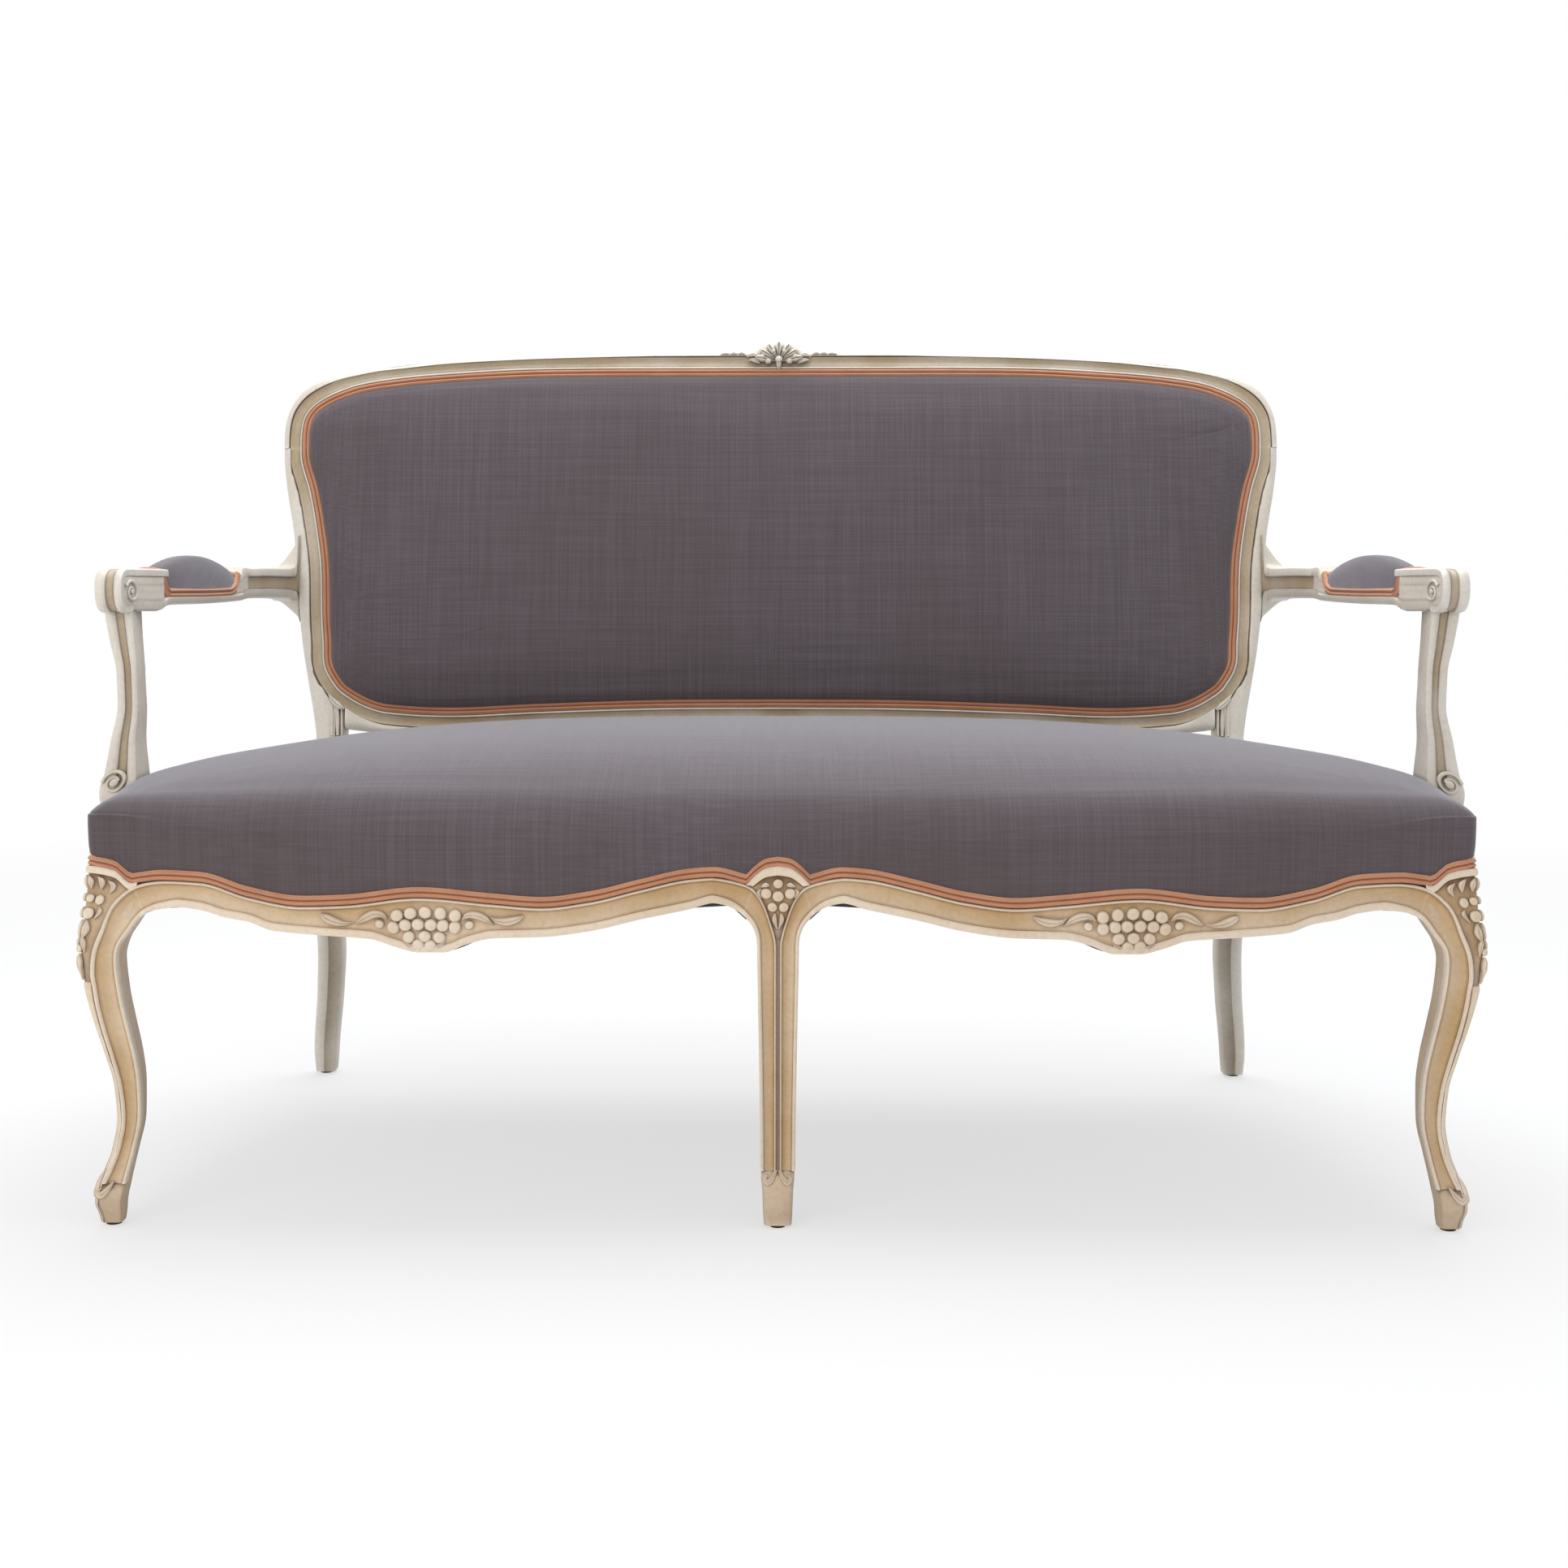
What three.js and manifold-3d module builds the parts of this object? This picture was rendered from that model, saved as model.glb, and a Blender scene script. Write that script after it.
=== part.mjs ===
// Two-seat cabriole sofa: a painted beech frame on five legs, with a sprung seat, a padded back and arm pads.
// Millimetres, +Z up, front towards -Y. Until the last lines, Y is 0 at the middle of the front feet.
import * as THREE from 'three';
import { mergeVertices } from 'three/addons/utils/BufferGeometryUtils.js';
import Module from 'manifold-3d';

const wasm = await Module();
wasm.setup();

// Clearances
const gap = 0.3;
const clothGap = 0.5;
const overrun = 4;
const chamfer = 2;

// Seat frame
const frameTop = 366;
const railDepth = 93.5;
const railThickness = 28;
const faceReach = 8;
const frontBow = 17;
const rebateDepth = 4.5;
const coveDepth = 3.5;
const beadHeight = 6;
const stepRise = 0.5;

// Front legs
const footSpread = 19.1;
const kneeReach = 15.5;
const kneeWidth = 36.7;
const legHeadWidth = 49;
const centreHeadWidth = 60;
const centreKneeWidth = 40;
const channelDepth = 2.5;
const glideHeight = 2.8;
const glideRadius = 8;

// Rear posts
const postInset = 64.4;
const postLineY = 584;
const postWidth = 32;
const postDepth = 36;
const postSplayX = 15;
const postSplayY = 44;

// Back frame
const backLow = 437;
const backHeight = 488;
const backHalfWidth = 632.4;
const backFaceY = 594;
const backLean = 0.2;
const backCheekShare = 0.8618;
const backThickness = 30;
const backRebate = 15;
const backRebateDepth = 6;
const backJointZ = 800;
const crestRise = 15;
const crestHalf = 45;

// Arms
const armLow = 609;
const armHeight = 38;
const armWidth = 34;
const armFrontY = 100;
const armInset = 24.4;
const armFlare = 42;
const supportY = 150;
const supportDepth = 50;
const supportWidth = 37;
const supportFoot = 298;
const supportFootDepth = 34;
const supportSpread = 39;

// Upholstery
const seatCrown = 474;
const seatEdgeZ = 416;
const seatEdgeRound = 26;
const seatInset = 2;
const coverThickness = 1.2;
const gimpHeight = 9.6;
const gimpThickness = 3.5;
const hessianThickness = 1.5;
const webWidth = 50;
const webThickness = 1.6;
const webZ = 302;
const webInset = 172.4;
const springTurns = 4;
const springRadius = 44;
const springWaist = 32;
const springWire = 2;
const dustZ = 290;
const backPadRise = 19;
const padRise = 18;

// Joinery
const tenonThickness = 10;
const tenonLength = 24;
const tenonHeight = 36;
const blockLeg = 46;
const screwRadius = 3;

// Smooth line through [place, value] shares, read at any place between the first and the last
function smoothLine(shares) {
  const secants = shares.slice(1).map((point, i) => (point[1] - shares[i][1]) / (point[0] - shares[i][0]));
  const slopes = shares.map((point, i) => {
    const left = secants[Math.max(i - 1, 0)];
    const right = secants[Math.min(i, secants.length - 1)];
    return left * right > 0 ? 2 * left * right / (left + right) : 0;
  });
  return place => {
    let i = 0;
    while (i < shares.length - 2 && place > shares[i + 1][0]) i += 1;
    const span = shares[i + 1][0] - shares[i][0];
    const t = THREE.MathUtils.clamp((place - shares[i][0]) / span, 0, 1);
    const rise = t * t * (3 - 2 * t);
    return shares[i][1] + (shares[i + 1][1] - shares[i][1]) * rise
      + slopes[i] * span * t * (1 - t) * (1 - t) - slopes[i + 1] * span * t * t * (1 - t);
  };
}

// Evenly spaced places from one value to another, both included
function spread(from, to, steps) {
  return Array.from({ length: steps + 1 }, (unused, i) => THREE.MathUtils.lerp(from, to, i / steps));
}

// Turns every face outwards when the solid came out inside out
function faceOut(geometry) {
  const place = geometry.attributes.position;
  const order = geometry.index.array;
  const [a, b, c] = [new THREE.Vector3(), new THREE.Vector3(), new THREE.Vector3()];
  let volume = 0;
  for (let i = 0; i < order.length; i += 3) {
    a.fromBufferAttribute(place, order[i]);
    b.fromBufferAttribute(place, order[i + 1]);
    c.fromBufferAttribute(place, order[i + 2]);
    volume += a.dot(b.cross(c));
  }
  if (volume < 0) {
    for (let i = 0; i < order.length; i += 3) [order[i], order[i + 1]] = [order[i + 1], order[i]];
  }
  return geometry;
}

// Closed solid through rings of [x, y, z] points that all run the same way round, capped at both ends. Each
// four-sided face is split along its shorter diagonal
function loft(rings) {
  const count = rings[0].length;
  const points = rings.flat();
  const faces = [];
  const length = (i, j) => Math.hypot(...[0, 1, 2].map(axis => points[i][axis] - points[j][axis]));
  for (let r = 0; r + 1 < rings.length; r += 1) {
    for (let i = 0; i < count; i += 1) {
      const a = r * count + i;
      const b = r * count + (i + 1) % count;
      const rising = length(a, b + count) < length(b, a + count) + clothGap;
      if (rising) faces.push(a, b, b + count, a, b + count, a + count);
      else faces.push(a, b, a + count, b, b + count, a + count);
    }
  }
  const middle = ring => [0, 1, 2].map(axis => ring.reduce((sum, point) => sum + point[axis], 0) / count);
  const first = points.push(middle(rings[0])) - 1;
  const last = points.push(middle(rings.at(-1))) - 1;
  for (let i = 0; i < count; i += 1) {
    const a = (rings.length - 1) * count + i;
    const b = (rings.length - 1) * count + (i + 1) % count;
    faces.push(first, (i + 1) % count, i, last, a, b);
  }
  const geometry = new THREE.BufferGeometry();
  geometry.setAttribute('position', new THREE.Float32BufferAttribute(points.flat(), 3));
  geometry.setIndex(faces);
  return faceOut(geometry);
}

// Solid sheet or ribbon that runs round and closes on itself, through sections of [x, y, z] points
function loop(sections) {
  const count = sections[0].length;
  const faces = [];
  sections.forEach((section, r) => {
    const next = (r + 1) % sections.length;
    for (let i = 0; i < count; i += 1) {
      const j = (i + 1) % count;
      faces.push(r * count + i, r * count + j, next * count + j);
      faces.push(r * count + i, next * count + j, next * count + i);
    }
  });
  const geometry = new THREE.BufferGeometry();
  geometry.setAttribute('position', new THREE.Float32BufferAttribute(sections.flat(2), 3));
  geometry.setIndex(faces);
  return faceOut(geometry);
}

// Box between two corners, in any order
function box(from, to) {
  const size = [0, 1, 2].map(axis => Math.abs(to[axis] - from[axis]));
  const middle = [0, 1, 2].map(axis => (to[axis] + from[axis]) / 2);
  return new THREE.BoxGeometry(...size).translate(...middle);
}

// Solids for the boolean work, and back
function toSolid(geometry) {
  const bare = geometry.clone();
  bare.deleteAttribute('normal');
  bare.deleteAttribute('uv');
  const merged = mergeVertices(bare);
  const vertProperties = new Float32Array(merged.attributes.position.array);
  const triVerts = new Uint32Array(merged.index.array);
  return new wasm.Manifold(new wasm.Mesh({ numProp: 3, vertProperties, triVerts }));
}

function fromSolid(solid) {
  const mesh = solid.getMesh();
  const geometry = new THREE.BufferGeometry();
  geometry.setAttribute('position', new THREE.BufferAttribute(mesh.vertProperties, 3));
  geometry.setIndex(new THREE.BufferAttribute(mesh.triVerts, 1));
  return geometry;
}

function cut(geometry, ...cutters) {
  return fromSolid(cutters.reduce((solid, cutter) => solid.subtract(toSolid(cutter)), toSolid(geometry)));
}

function join(geometry, ...others) {
  return fromSolid(others.reduce((solid, other) => solid.add(toSolid(other)), toSolid(geometry)));
}

// The assembly and its finishes
const sofa = new THREE.Group();
const finish = (color, roughness, metalness = 0) => ({ color, roughness, metalness });
const paint = finish(0xd8c6a4, 0.55);
const beech = finish(0xb98d5c, 0.7);
const linen = finish(0x5f5860, 0.9);
const gimpCloth = finish(0xba7a52, 0.85);
const jute = finish(0xa58a5e, 0.95);
const hair = finish(0x6b5a48, 0.95);
const blackCloth = finish(0x26242a, 0.95);
const steel = finish(0x8f8a82, 0.4, 0.9);
const darkFelt = finish(0x3a2a20, 0.9);

function add(name, geometry, look) {
  geometry.computeVertexNormals();
  const mesh = new THREE.Mesh(geometry, new THREE.MeshStandardMaterial(look));
  mesh.name = name;
  sofa.add(mesh);
}

const sides = [['left', -1], ['right', 1]];

// Tenons are boxes on the end of a rail, and the mortise is the same box with air all round
function mortise(from, to) {
  const low = [0, 1, 2].map(axis => Math.min(from[axis], to[axis]) - gap);
  const high = [0, 1, 2].map(axis => Math.max(from[axis], to[axis]) + gap);
  return box(low, high);
}

// Front legs: rows of shares of the leg's height, the knee's reach and width, and the growth into the head
const frontLegShares = [
  [0, 0.33, 0.55, 0], [0.022, 0.42, 0.62, 0], [0.055, 0.6, 0.72, 0], [0.099, 0.48, 0.746, 0],
  [0.143, 0.1, 0.67, 0], [0.187, -0.24, 0.616, 0], [0.275, -0.53, 0.654, 0], [0.364, -0.42, 0.727, 0],
  [0.451, -0.04, 0.836, 0], [0.54, 0.41, 0.907, 0], [0.628, 0.78, 0.954, 0], [0.714, 1, 1, 0],
  [0.763, 0.96, 1, 0.25], [0.801, 0.86, 1, 0.72], [0.827, 0.8, 1, 1],
];
const legFoot = glideHeight + gap;
const legHeightAt = share => legFoot + (frameTop - legFoot) * share;
const footX = backHalfWidth + footSpread;
const headOuterX = footX + faceReach;
const cheekX = headOuterX - legHeadWidth;
const cheekY = legHeadWidth - faceReach;
const centreHalf = centreHeadWidth / 2;

// Face of the front rail between the centre leg and the corner leg, bowed forward in each half
function frontFaceY(x) {
  const t = THREE.MathUtils.clamp((Math.abs(x) - centreHalf) / (cheekX - centreHalf), 0, 1);
  return -faceReach - frontBow * Math.sin(Math.PI * t);
}

// Places that follow from the back's width: the rear posts, the stiles' inner cheeks, the arms and supports
const postX = backHalfWidth - postInset;
const backCheekHalf = backHalfWidth * backCheekShare;
const armPostX = backHalfWidth - armInset;
const supportReach = footX + supportSpread;
const postFrontY = postLineY - postDepth / 2;
const postBackY = postLineY + postDepth / 2;
const sideBowShares = [
  [0, 1], [0.1, 1.13], [0.21, 1.19], [0.34, 1.12], [0.5, 0.9], [0.69, 0.56], [0.88, 0.21], [1, 0],
];
const sideBow = smoothLine(sideBowShares);

// Face of the side rail from the corner leg to the rear post
function sideFaceX(y) {
  const t = (y - cheekY) / (postFrontY - cheekY);
  const rearX = postX + postWidth / 2;
  return rearX + (headOuterX - rearX) * sideBow(t);
}

// Edges of the show wood: the low edge and the upholstery line, as shares of the rail's depth
const railBase = frameTop - railDepth;
const frontLowShares = [
  [0, 0.311], [0.026, 0.444], [0.053, 0.487], [0.093, 0.427], [0.174, 0.326], [0.253, 0.215], [0.333, 0.155],
  [0.412, 0.144], [0.454, 0.086], [0.493, 0], [0.534, 0], [0.574, 0.059], [0.613, 0.134], [0.694, 0.166],
  [0.775, 0.209], [0.814, 0.294], [0.854, 0.337], [0.893, 0.406], [0.935, 0.433], [0.969, 0.397], [1, 0.325],
];
const frontLineShares = [
  [0, 0.663], [0.053, 0.743], [0.093, 0.728], [0.172, 0.626], [0.253, 0.508], [0.332, 0.45], [0.412, 0.487],
  [0.533, 0.551], [0.653, 0.471], [0.727, 0.4545], [0.813, 0.54], [0.893, 0.684], [0.96, 0.7], [1, 0.67],
];
const sideLowShares = [
  [0, 0.325], [0.06, 0.43], [0.25, 0.25], [0.5, 0.16], [0.75, 0.25], [0.93, 0.4], [1, 0.36],
];
const sideLineShares = [
  [0, 0.67], [0.06, 0.7], [0.25, 0.55], [0.5, 0.45], [0.75, 0.55], [0.93, 0.7], [1, 0.72],
];
const centreArchShares = [[0, 0.847], [0.35, 0.83], [0.7, 0.76], [1, 0.663]];
const cornerArchShares = [[0, 0.67], [0.1, 0.66], [0.45, 0.79], [0.8, 0.83], [1, 0.84]];
const frontLow = smoothLine(frontLowShares);
const frontLine = smoothLine(frontLineShares);
const sideLow = smoothLine(sideLowShares);
const sideLine = smoothLine(sideLineShares);
const centreArch = smoothLine(centreArchShares);
const cornerArch = smoothLine(cornerArchShares);
const railHeightAt = share => railBase + railDepth * share;

// A place on the side rail, with its outward direction, upholstery line and low edge
function sidePlace(half, y) {
  const t = (y - cheekY) / (postFrontY - cheekY);
  const line = railHeightAt(sideLine(t));
  return { x: half * sideFaceX(y), y, nx: half, ny: 0, line, low: railHeightAt(sideLow(t)) };
}

// Places round the seat on one side, from the centre of the front to the rear post
const headCorner = kneeWidth * 0.3;
const centreSteps = 5;
const railSteps = 24;
const headSteps = 2;
const supportFrontY = supportY - supportFootDepth / 2 - clothGap;
const supportBackY = supportY + supportFootDepth / 2 + clothGap;
const sideYs = [...spread(cheekY, supportFrontY, 2), ...spread(supportBackY, postFrontY, 6)];
const sideSteps = sideYs.length - 1;
function seatPlaces(half) {
  const places = [];
  const push = (x, y, nx, ny, line, low) => {
    places.push({ x: half * x, y, nx: half * nx, ny, line, low });
  };
  for (const x of spread(0, centreHalf, centreSteps)) {
    push(x, -faceReach, 0, -1, railHeightAt(centreArch(x / centreHalf)), 0);
  }
  for (const t of spread(0, 1, railSteps)) {
    const x = THREE.MathUtils.lerp(centreHalf, cheekX, t);
    push(x, frontFaceY(x), 0, -1, railHeightAt(frontLine(t)), railHeightAt(frontLow(t)));
  }
  const cornerStart = headOuterX - headCorner;
  for (const t of spread(0, 1, headSteps).slice(1)) {
    const x = THREE.MathUtils.lerp(cheekX, cornerStart, t);
    push(x, -faceReach, 0, -1, railHeightAt(cornerArch(t * 0.8)), 0);
  }
  const lean = Math.SQRT1_2;
  const soft = headCorner * 0.3;
  push(headOuterX - soft, -faceReach + soft, lean, -lean, railHeightAt(cornerArch(1)), 0);
  for (const t of spread(1, 0, headSteps)) {
    const y = THREE.MathUtils.lerp(cheekY, headCorner - faceReach, t);
    push(headOuterX, y, 1, 0, railHeightAt(cornerArch(t * 0.8)), 0);
  }
  for (const y of sideYs) places.push(sidePlace(half, y));
  return places;
}
const rightPlaces = seatPlaces(1);
const leftPlaces = seatPlaces(-1);
const railStart = centreSteps + 1;
const headStart = railStart + railSteps + 1;
const sideStart = headStart + headSteps * 2 + 2;

// Rail section: cove and beads on the face, a tacking rebate above the upholstery line, a plain back
function railSection(place) {
  const at = (inset, z) => [place.x - place.nx * inset, place.y - place.ny * inset, z];
  const height = place.line - place.low;
  return [
    at(chamfer, place.low), at(0, place.low + chamfer), at(0, place.low + beadHeight),
    at(coveDepth, place.low + height * 0.5), at(stepRise, place.line - chamfer), at(stepRise, place.line),
    at(rebateDepth, place.line + stepRise), at(rebateDepth, frameTop), at(railThickness, frameTop),
    at(railThickness, place.low + chamfer),
  ];
}

function endAt(places, axis, value) {
  return places.map((place, i) => {
    const shift = i === 0 ? gap : i === places.length - 1 ? -gap : 0;
    return { ...place, [axis]: place[axis] + shift * value };
  });
}

// Tenon places, shared by each rail and what it enters
const tenonTop = frameTop - chamfer * 4;
const tenonLow = tenonTop - tenonHeight;
const frontTenonY = [-faceReach + coveDepth * 2, -faceReach + coveDepth * 2 + tenonThickness];
const sideTenonX = [headOuterX - coveDepth * 2 - tenonThickness, headOuterX - coveDepth * 2];
const frontTenon = (half, root, tip) => [
  [half * root, frontTenonY[0], tenonLow], [half * tip, frontTenonY[1], tenonTop],
];
const frontTenons = half => [
  frontTenon(half, cheekX - overrun, cheekX + tenonLength),
  frontTenon(half, centreHalf + overrun, centreHalf / 3),
];
const rearTenonX = [postX - tenonThickness / 2, postX + tenonThickness / 2];
const sideTenon = (half, across, root, tip) => [
  [half * across[0], root, tenonLow], [half * across[1], tip, tenonTop],
];
const sideTenons = half => [
  sideTenon(half, sideTenonX, cheekY + overrun, cheekY - tenonLength),
  sideTenon(half, rearTenonX, postFrontY - overrun, postLineY),
];
const rearRailY = [postBackY - railThickness - chamfer, postBackY - chamfer];
const postInnerX = postX - postWidth / 2;
const rearRailTenonY = [rearRailY[1] - tenonThickness, rearRailY[1] - chamfer];
const rearTenon = half => [
  [half * (postInnerX - overrun), rearRailTenonY[0], tenonLow], [half * postX, rearRailTenonY[1], tenonTop],
];

// The arm support's foot is let into the side rail's face and held by a screw from inside
const lapX = sideFaceX(supportY) - chamfer;
const screwZ = frameTop - tenonHeight * 0.6;
const screwLength = railThickness * 1.3;
const roundBar = (radius, length) => new THREE.CylinderGeometry(radius, radius, length, 12);
const screw = (half, air) => roundBar(screwRadius + air, screwLength + air * 2)
  .rotateZ(Math.PI / 2)
  .translate(half * (lapX + chamfer - railThickness * 0.5), supportY, screwZ);
const supportHousing = half => box(
  [half * (lapX - gap), supportY - supportFootDepth / 2 - gap, supportFoot - gap],
  [half * (lapX + overrun * 2), supportY + supportFootDepth / 2 + gap, frameTop + overrun],
);

// Front rails: each half is one serpentine piece, deepest where the carved cartouche sits
for (const [name, half] of sides) {
  const places = (half < 0 ? leftPlaces : rightPlaces).slice(railStart, headStart);
  const body = loft(endAt(places, 'x', half).map(railSection));
  add(`front_rail_${name}`, join(body, ...frontTenons(half).map(ends => box(...ends))), paint);
}

// Side rails
for (const [name, half] of sides) {
  const places = (half < 0 ? leftPlaces : rightPlaces).slice(sideStart);
  const body = loft(endAt(places, 'y', 1).map(railSection));
  const rail = join(body, ...sideTenons(half).map(ends => box(...ends)));
  add(`side_rail_${name}`, cut(rail, supportHousing(half), screw(half, gap)), paint);
}

// Rear rail: a plain board between the posts
const rearRailLow = webZ + webThickness + gap;
const centreRailLow = rearRailLow;
const centreRailTop = centreRailLow + tenonHeight * 1.4;
const centreRailTenon = [
  [-tenonThickness, -faceReach + centreHeadWidth * 0.62, centreRailLow + chamfer * 3],
  [tenonThickness, rearRailY[0] + tenonThickness, centreRailTop - chamfer * 3],
];
add('rear_rail', cut(
  join(
    box([-postInnerX + gap, rearRailY[0], rearRailLow], [postInnerX - gap, rearRailY[1], frameTop]),
    box(...rearTenon(-1)),
    box(...rearTenon(1)),
  ),
  mortise(...centreRailTenon),
), beech);

// Front corner legs: cabriole, square in section with a rounded outer corner, growing into a jointed head
function cornerLegRing(half, z, reach, width, line) {
  const outer = footX + reach;
  const front = -reach;
  const inner = outer - width;
  const back = front + width;
  const round = line ? headCorner : width * 0.3;
  const soft = line ? headCorner * 0.3 : width * 0.09;
  const hollow = line ? 0 : channelDepth;
  const edge = line ? 0.01 * width : chamfer;
  return [
    [inner + edge, front], [(inner + outer - round) / 2, front + hollow], [outer - round, front],
    [outer - soft, front + soft], [outer, front + round], [outer - hollow, (front + round + back) / 2],
    [outer, back - edge], [outer - edge, back], [inner + edge, back],
    [inner, back - edge], [inner, front + edge],
  ].map(([x, y]) => [half * x, y, z]);
}

// The head's rings above the show wood follow the arch of the upholstery line, then step back by the rebate
function cornerHeadRings(half) {
  const lineAt = share => railHeightAt(cornerArch(share));
  const lines = [0, 0.4, 0.8, 1, 0.8, 0.4, 0, 0, 0, 0, 0].map(lineAt);
  const outline = cornerLegRing(half, 0, faceReach, legHeadWidth, true);
  const inset = cornerLegRing(half, 0, faceReach - rebateDepth, legHeadWidth - rebateDepth, true);
  return [
    outline.map((point, i) => [point[0], point[1], lines[i]]),
    inset.map((point, i) => [point[0], point[1], lines[i] + stepRise]),
    inset.map(point => [point[0], point[1], frameTop]),
  ];
}

for (const [name, half] of sides) {
  const rings = frontLegShares.map(([heightShare, reachShare, widthShare, headShare]) => {
    const width = kneeWidth * widthShare + (legHeadWidth - kneeWidth) * headShare;
    const reach = headShare === 1 ? faceReach : kneeReach * reachShare;
    return cornerLegRing(half, legHeightAt(heightShare), reach, width, false);
  });
  rings.push(...cornerHeadRings(half));
  const holes = [frontTenons(half)[0], sideTenons(half)[0]].map(ends => mortise(...ends));
  add(`front_leg_${name}`, cut(loft(rings), ...holes), paint);
}

// Centre leg: the same bend seen from the front, with a rib between two channels
function centreLegRing(z, reach, width, depth, hollow) {
  const half = width / 2;
  const front = -reach;
  const back = front + depth;
  return [
    [chamfer - half, front], [-half / 2, front + hollow], [0, front], [half / 2, front + hollow],
    [half - chamfer, front], [half, front + chamfer], [half, back - chamfer], [half - chamfer, back],
    [chamfer - half, back], [-half, back - chamfer], [-half, front + chamfer],
  ].map(([x, y]) => [x, y, z]);
}
const centreWidthShares = [
  [0, 0.66], [0.022, 0.69], [0.099, 0.75], [0.143, 0.84], [0.25, 0.86], [0.42, 0.9], [0.6, 0.95], [0.763, 1],
];
const centreWidth = smoothLine(centreWidthShares);
const centreHeadDepth = legHeadWidth * 0.8;
const centreLegRings = frontLegShares.map(([heightShare, reachShare, widthShare, headShare]) => {
  const spreadWidth = centreKneeWidth * centreWidth(heightShare);
  const width = spreadWidth + (centreHeadWidth - centreKneeWidth) * Math.max(headShare - 0.25, 0) / 0.75;
  const depth = kneeWidth * widthShare + (centreHeadDepth - kneeWidth) * headShare;
  const reach = headShare === 1 ? faceReach : kneeReach * reachShare;
  return centreLegRing(legHeightAt(heightShare), reach, width, depth, channelDepth);
});
const centreLines = [1, 0.5, 0, 0.5, 1, 1, 1, 1, 1, 1, 1].map(share => railHeightAt(centreArch(share)));
const centreOutline = centreLegRing(0, faceReach, centreHeadWidth, centreHeadDepth, 0);
const insetDepth = centreHeadDepth - rebateDepth;
const centreInset = centreLegRing(0, faceReach - rebateDepth, centreHeadWidth, insetDepth, 0);
centreLegRings.push(
  centreOutline.map((point, i) => [point[0], point[1], centreLines[i]]),
  centreInset.map((point, i) => [point[0], point[1], centreLines[i] + stepRise]),
  centreInset.map(point => [point[0], point[1], frameTop]),
);
add('front_leg_centre', cut(
  loft(centreLegRings),
  mortise(...frontTenons(-1)[1]),
  mortise(...frontTenons(1)[1]),
  mortise(...centreRailTenon),
), paint);

// Centre rail: ties the centre leg to the rear rail and carries the webbing
const centreRailFront = centreHeadDepth - faceReach + gap;
const centreRailHalf = railThickness / 2;
add('centre_rail', join(
  box([-centreRailHalf, centreRailFront, centreRailLow], [centreRailHalf, rearRailY[0] - gap, centreRailTop]),
  box(...centreRailTenon),
), beech);

// Back frame outlines: [half width, height] shares, the outer edge and the inner edge of the show wood
const stileOuterShares = [
  [0, 0.92], [0.055, 0.9266], [0.138, 0.939], [0.221, 0.951], [0.305, 0.96], [0.41, 0.968], [0.516, 0.9756],
  [0.557, 0.981], [0.643, 0.993], [0.727, 1], [0.744, 1],
];
const stileShowShares = [
  [0, backCheekShare], [0.107, backCheekShare], [0.127, 0.879], [0.178, 0.902], [0.305, 0.9105],
  [0.442, 0.9156], [0.555, 0.9288], [0.635, 0.942], [0.705, 0.9587], [0.744, 0.9617],
];
const stileInnerShares = [
  [0, backCheekShare], [0.137, backCheekShare], [0.178, 0.879], [0.305, 0.887], [0.442, 0.892],
  [0.555, 0.905], [0.635, 0.918], [0.705, 0.9345], [0.744, 0.938],
];
const crestOuterShares = [
  [1, 0.744], [0.998, 0.805], [0.988, 0.85], [0.963, 0.897], [0.922, 0.926], [0.873, 0.943], [0.773, 0.959],
  [0.675, 0.973], [0.527, 0.984], [0.378, 0.99], [0.229, 0.994], [0.11, 0.999],
];
const crestInnerShares = [
  [0.9617, 0.744], [0.9603, 0.797], [0.953, 0.83], [0.933, 0.86], [0.896, 0.887], [0.844, 0.91],
  [0.756, 0.9275], [0.664, 0.9377], [0.522, 0.948], [0.376, 0.951], [0.229, 0.9513], [0.11, 0.9513],
];
const lowOuterShares = [
  [backCheekShare, 0.016], [0.822, 0.01], [0.778, 0.006], [0.65, 0.002], [0.48, 0], [0.24, 0.002], [0, 0.003],
];
const lowInnerShares = [
  [backCheekShare, 0.107], [0.822, 0.078], [0.778, 0.0615], [0.65, 0.0525], [0.48, 0.062],
  [0.24, 0.072], [0, 0.074],
];
const stileLevelShares = [0.127, 0.178, 0.305, 0.442, 0.555, 0.65];
const stileOuter = smoothLine(stileOuterShares);
const stileShow = smoothLine(stileShowShares);
const stileInner = smoothLine(stileInnerShares);
const backY = z => backFaceY + backLean * (z - backLow);

// Section of the back frame across from the outer edge to the show edge, with the upholstery rebate inside it
function backSection(outer, show, inner) {
  const across = (share, depth) => {
    const z = THREE.MathUtils.lerp(outer[1], show[1], share);
    return [THREE.MathUtils.lerp(outer[0], show[0], share), backY(z) + depth, z];
  };
  const within = depth => [inner[0], backY(inner[1]) + depth, inner[1]];
  const width = Math.hypot(show[0] - outer[0], show[1] - outer[1]);
  return [
    across(0, backThickness - chamfer), across(0, chamfer * 3), across(chamfer * 2.5 / width, 0),
    across(1 - chamfer / width, stepRise), across(1, stepRise + chamfer / 2), across(1, backRebateDepth),
    within(backRebateDepth), within(backThickness - chamfer),
    across(1, backThickness), across(chamfer / width, backThickness),
  ];
}

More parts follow.
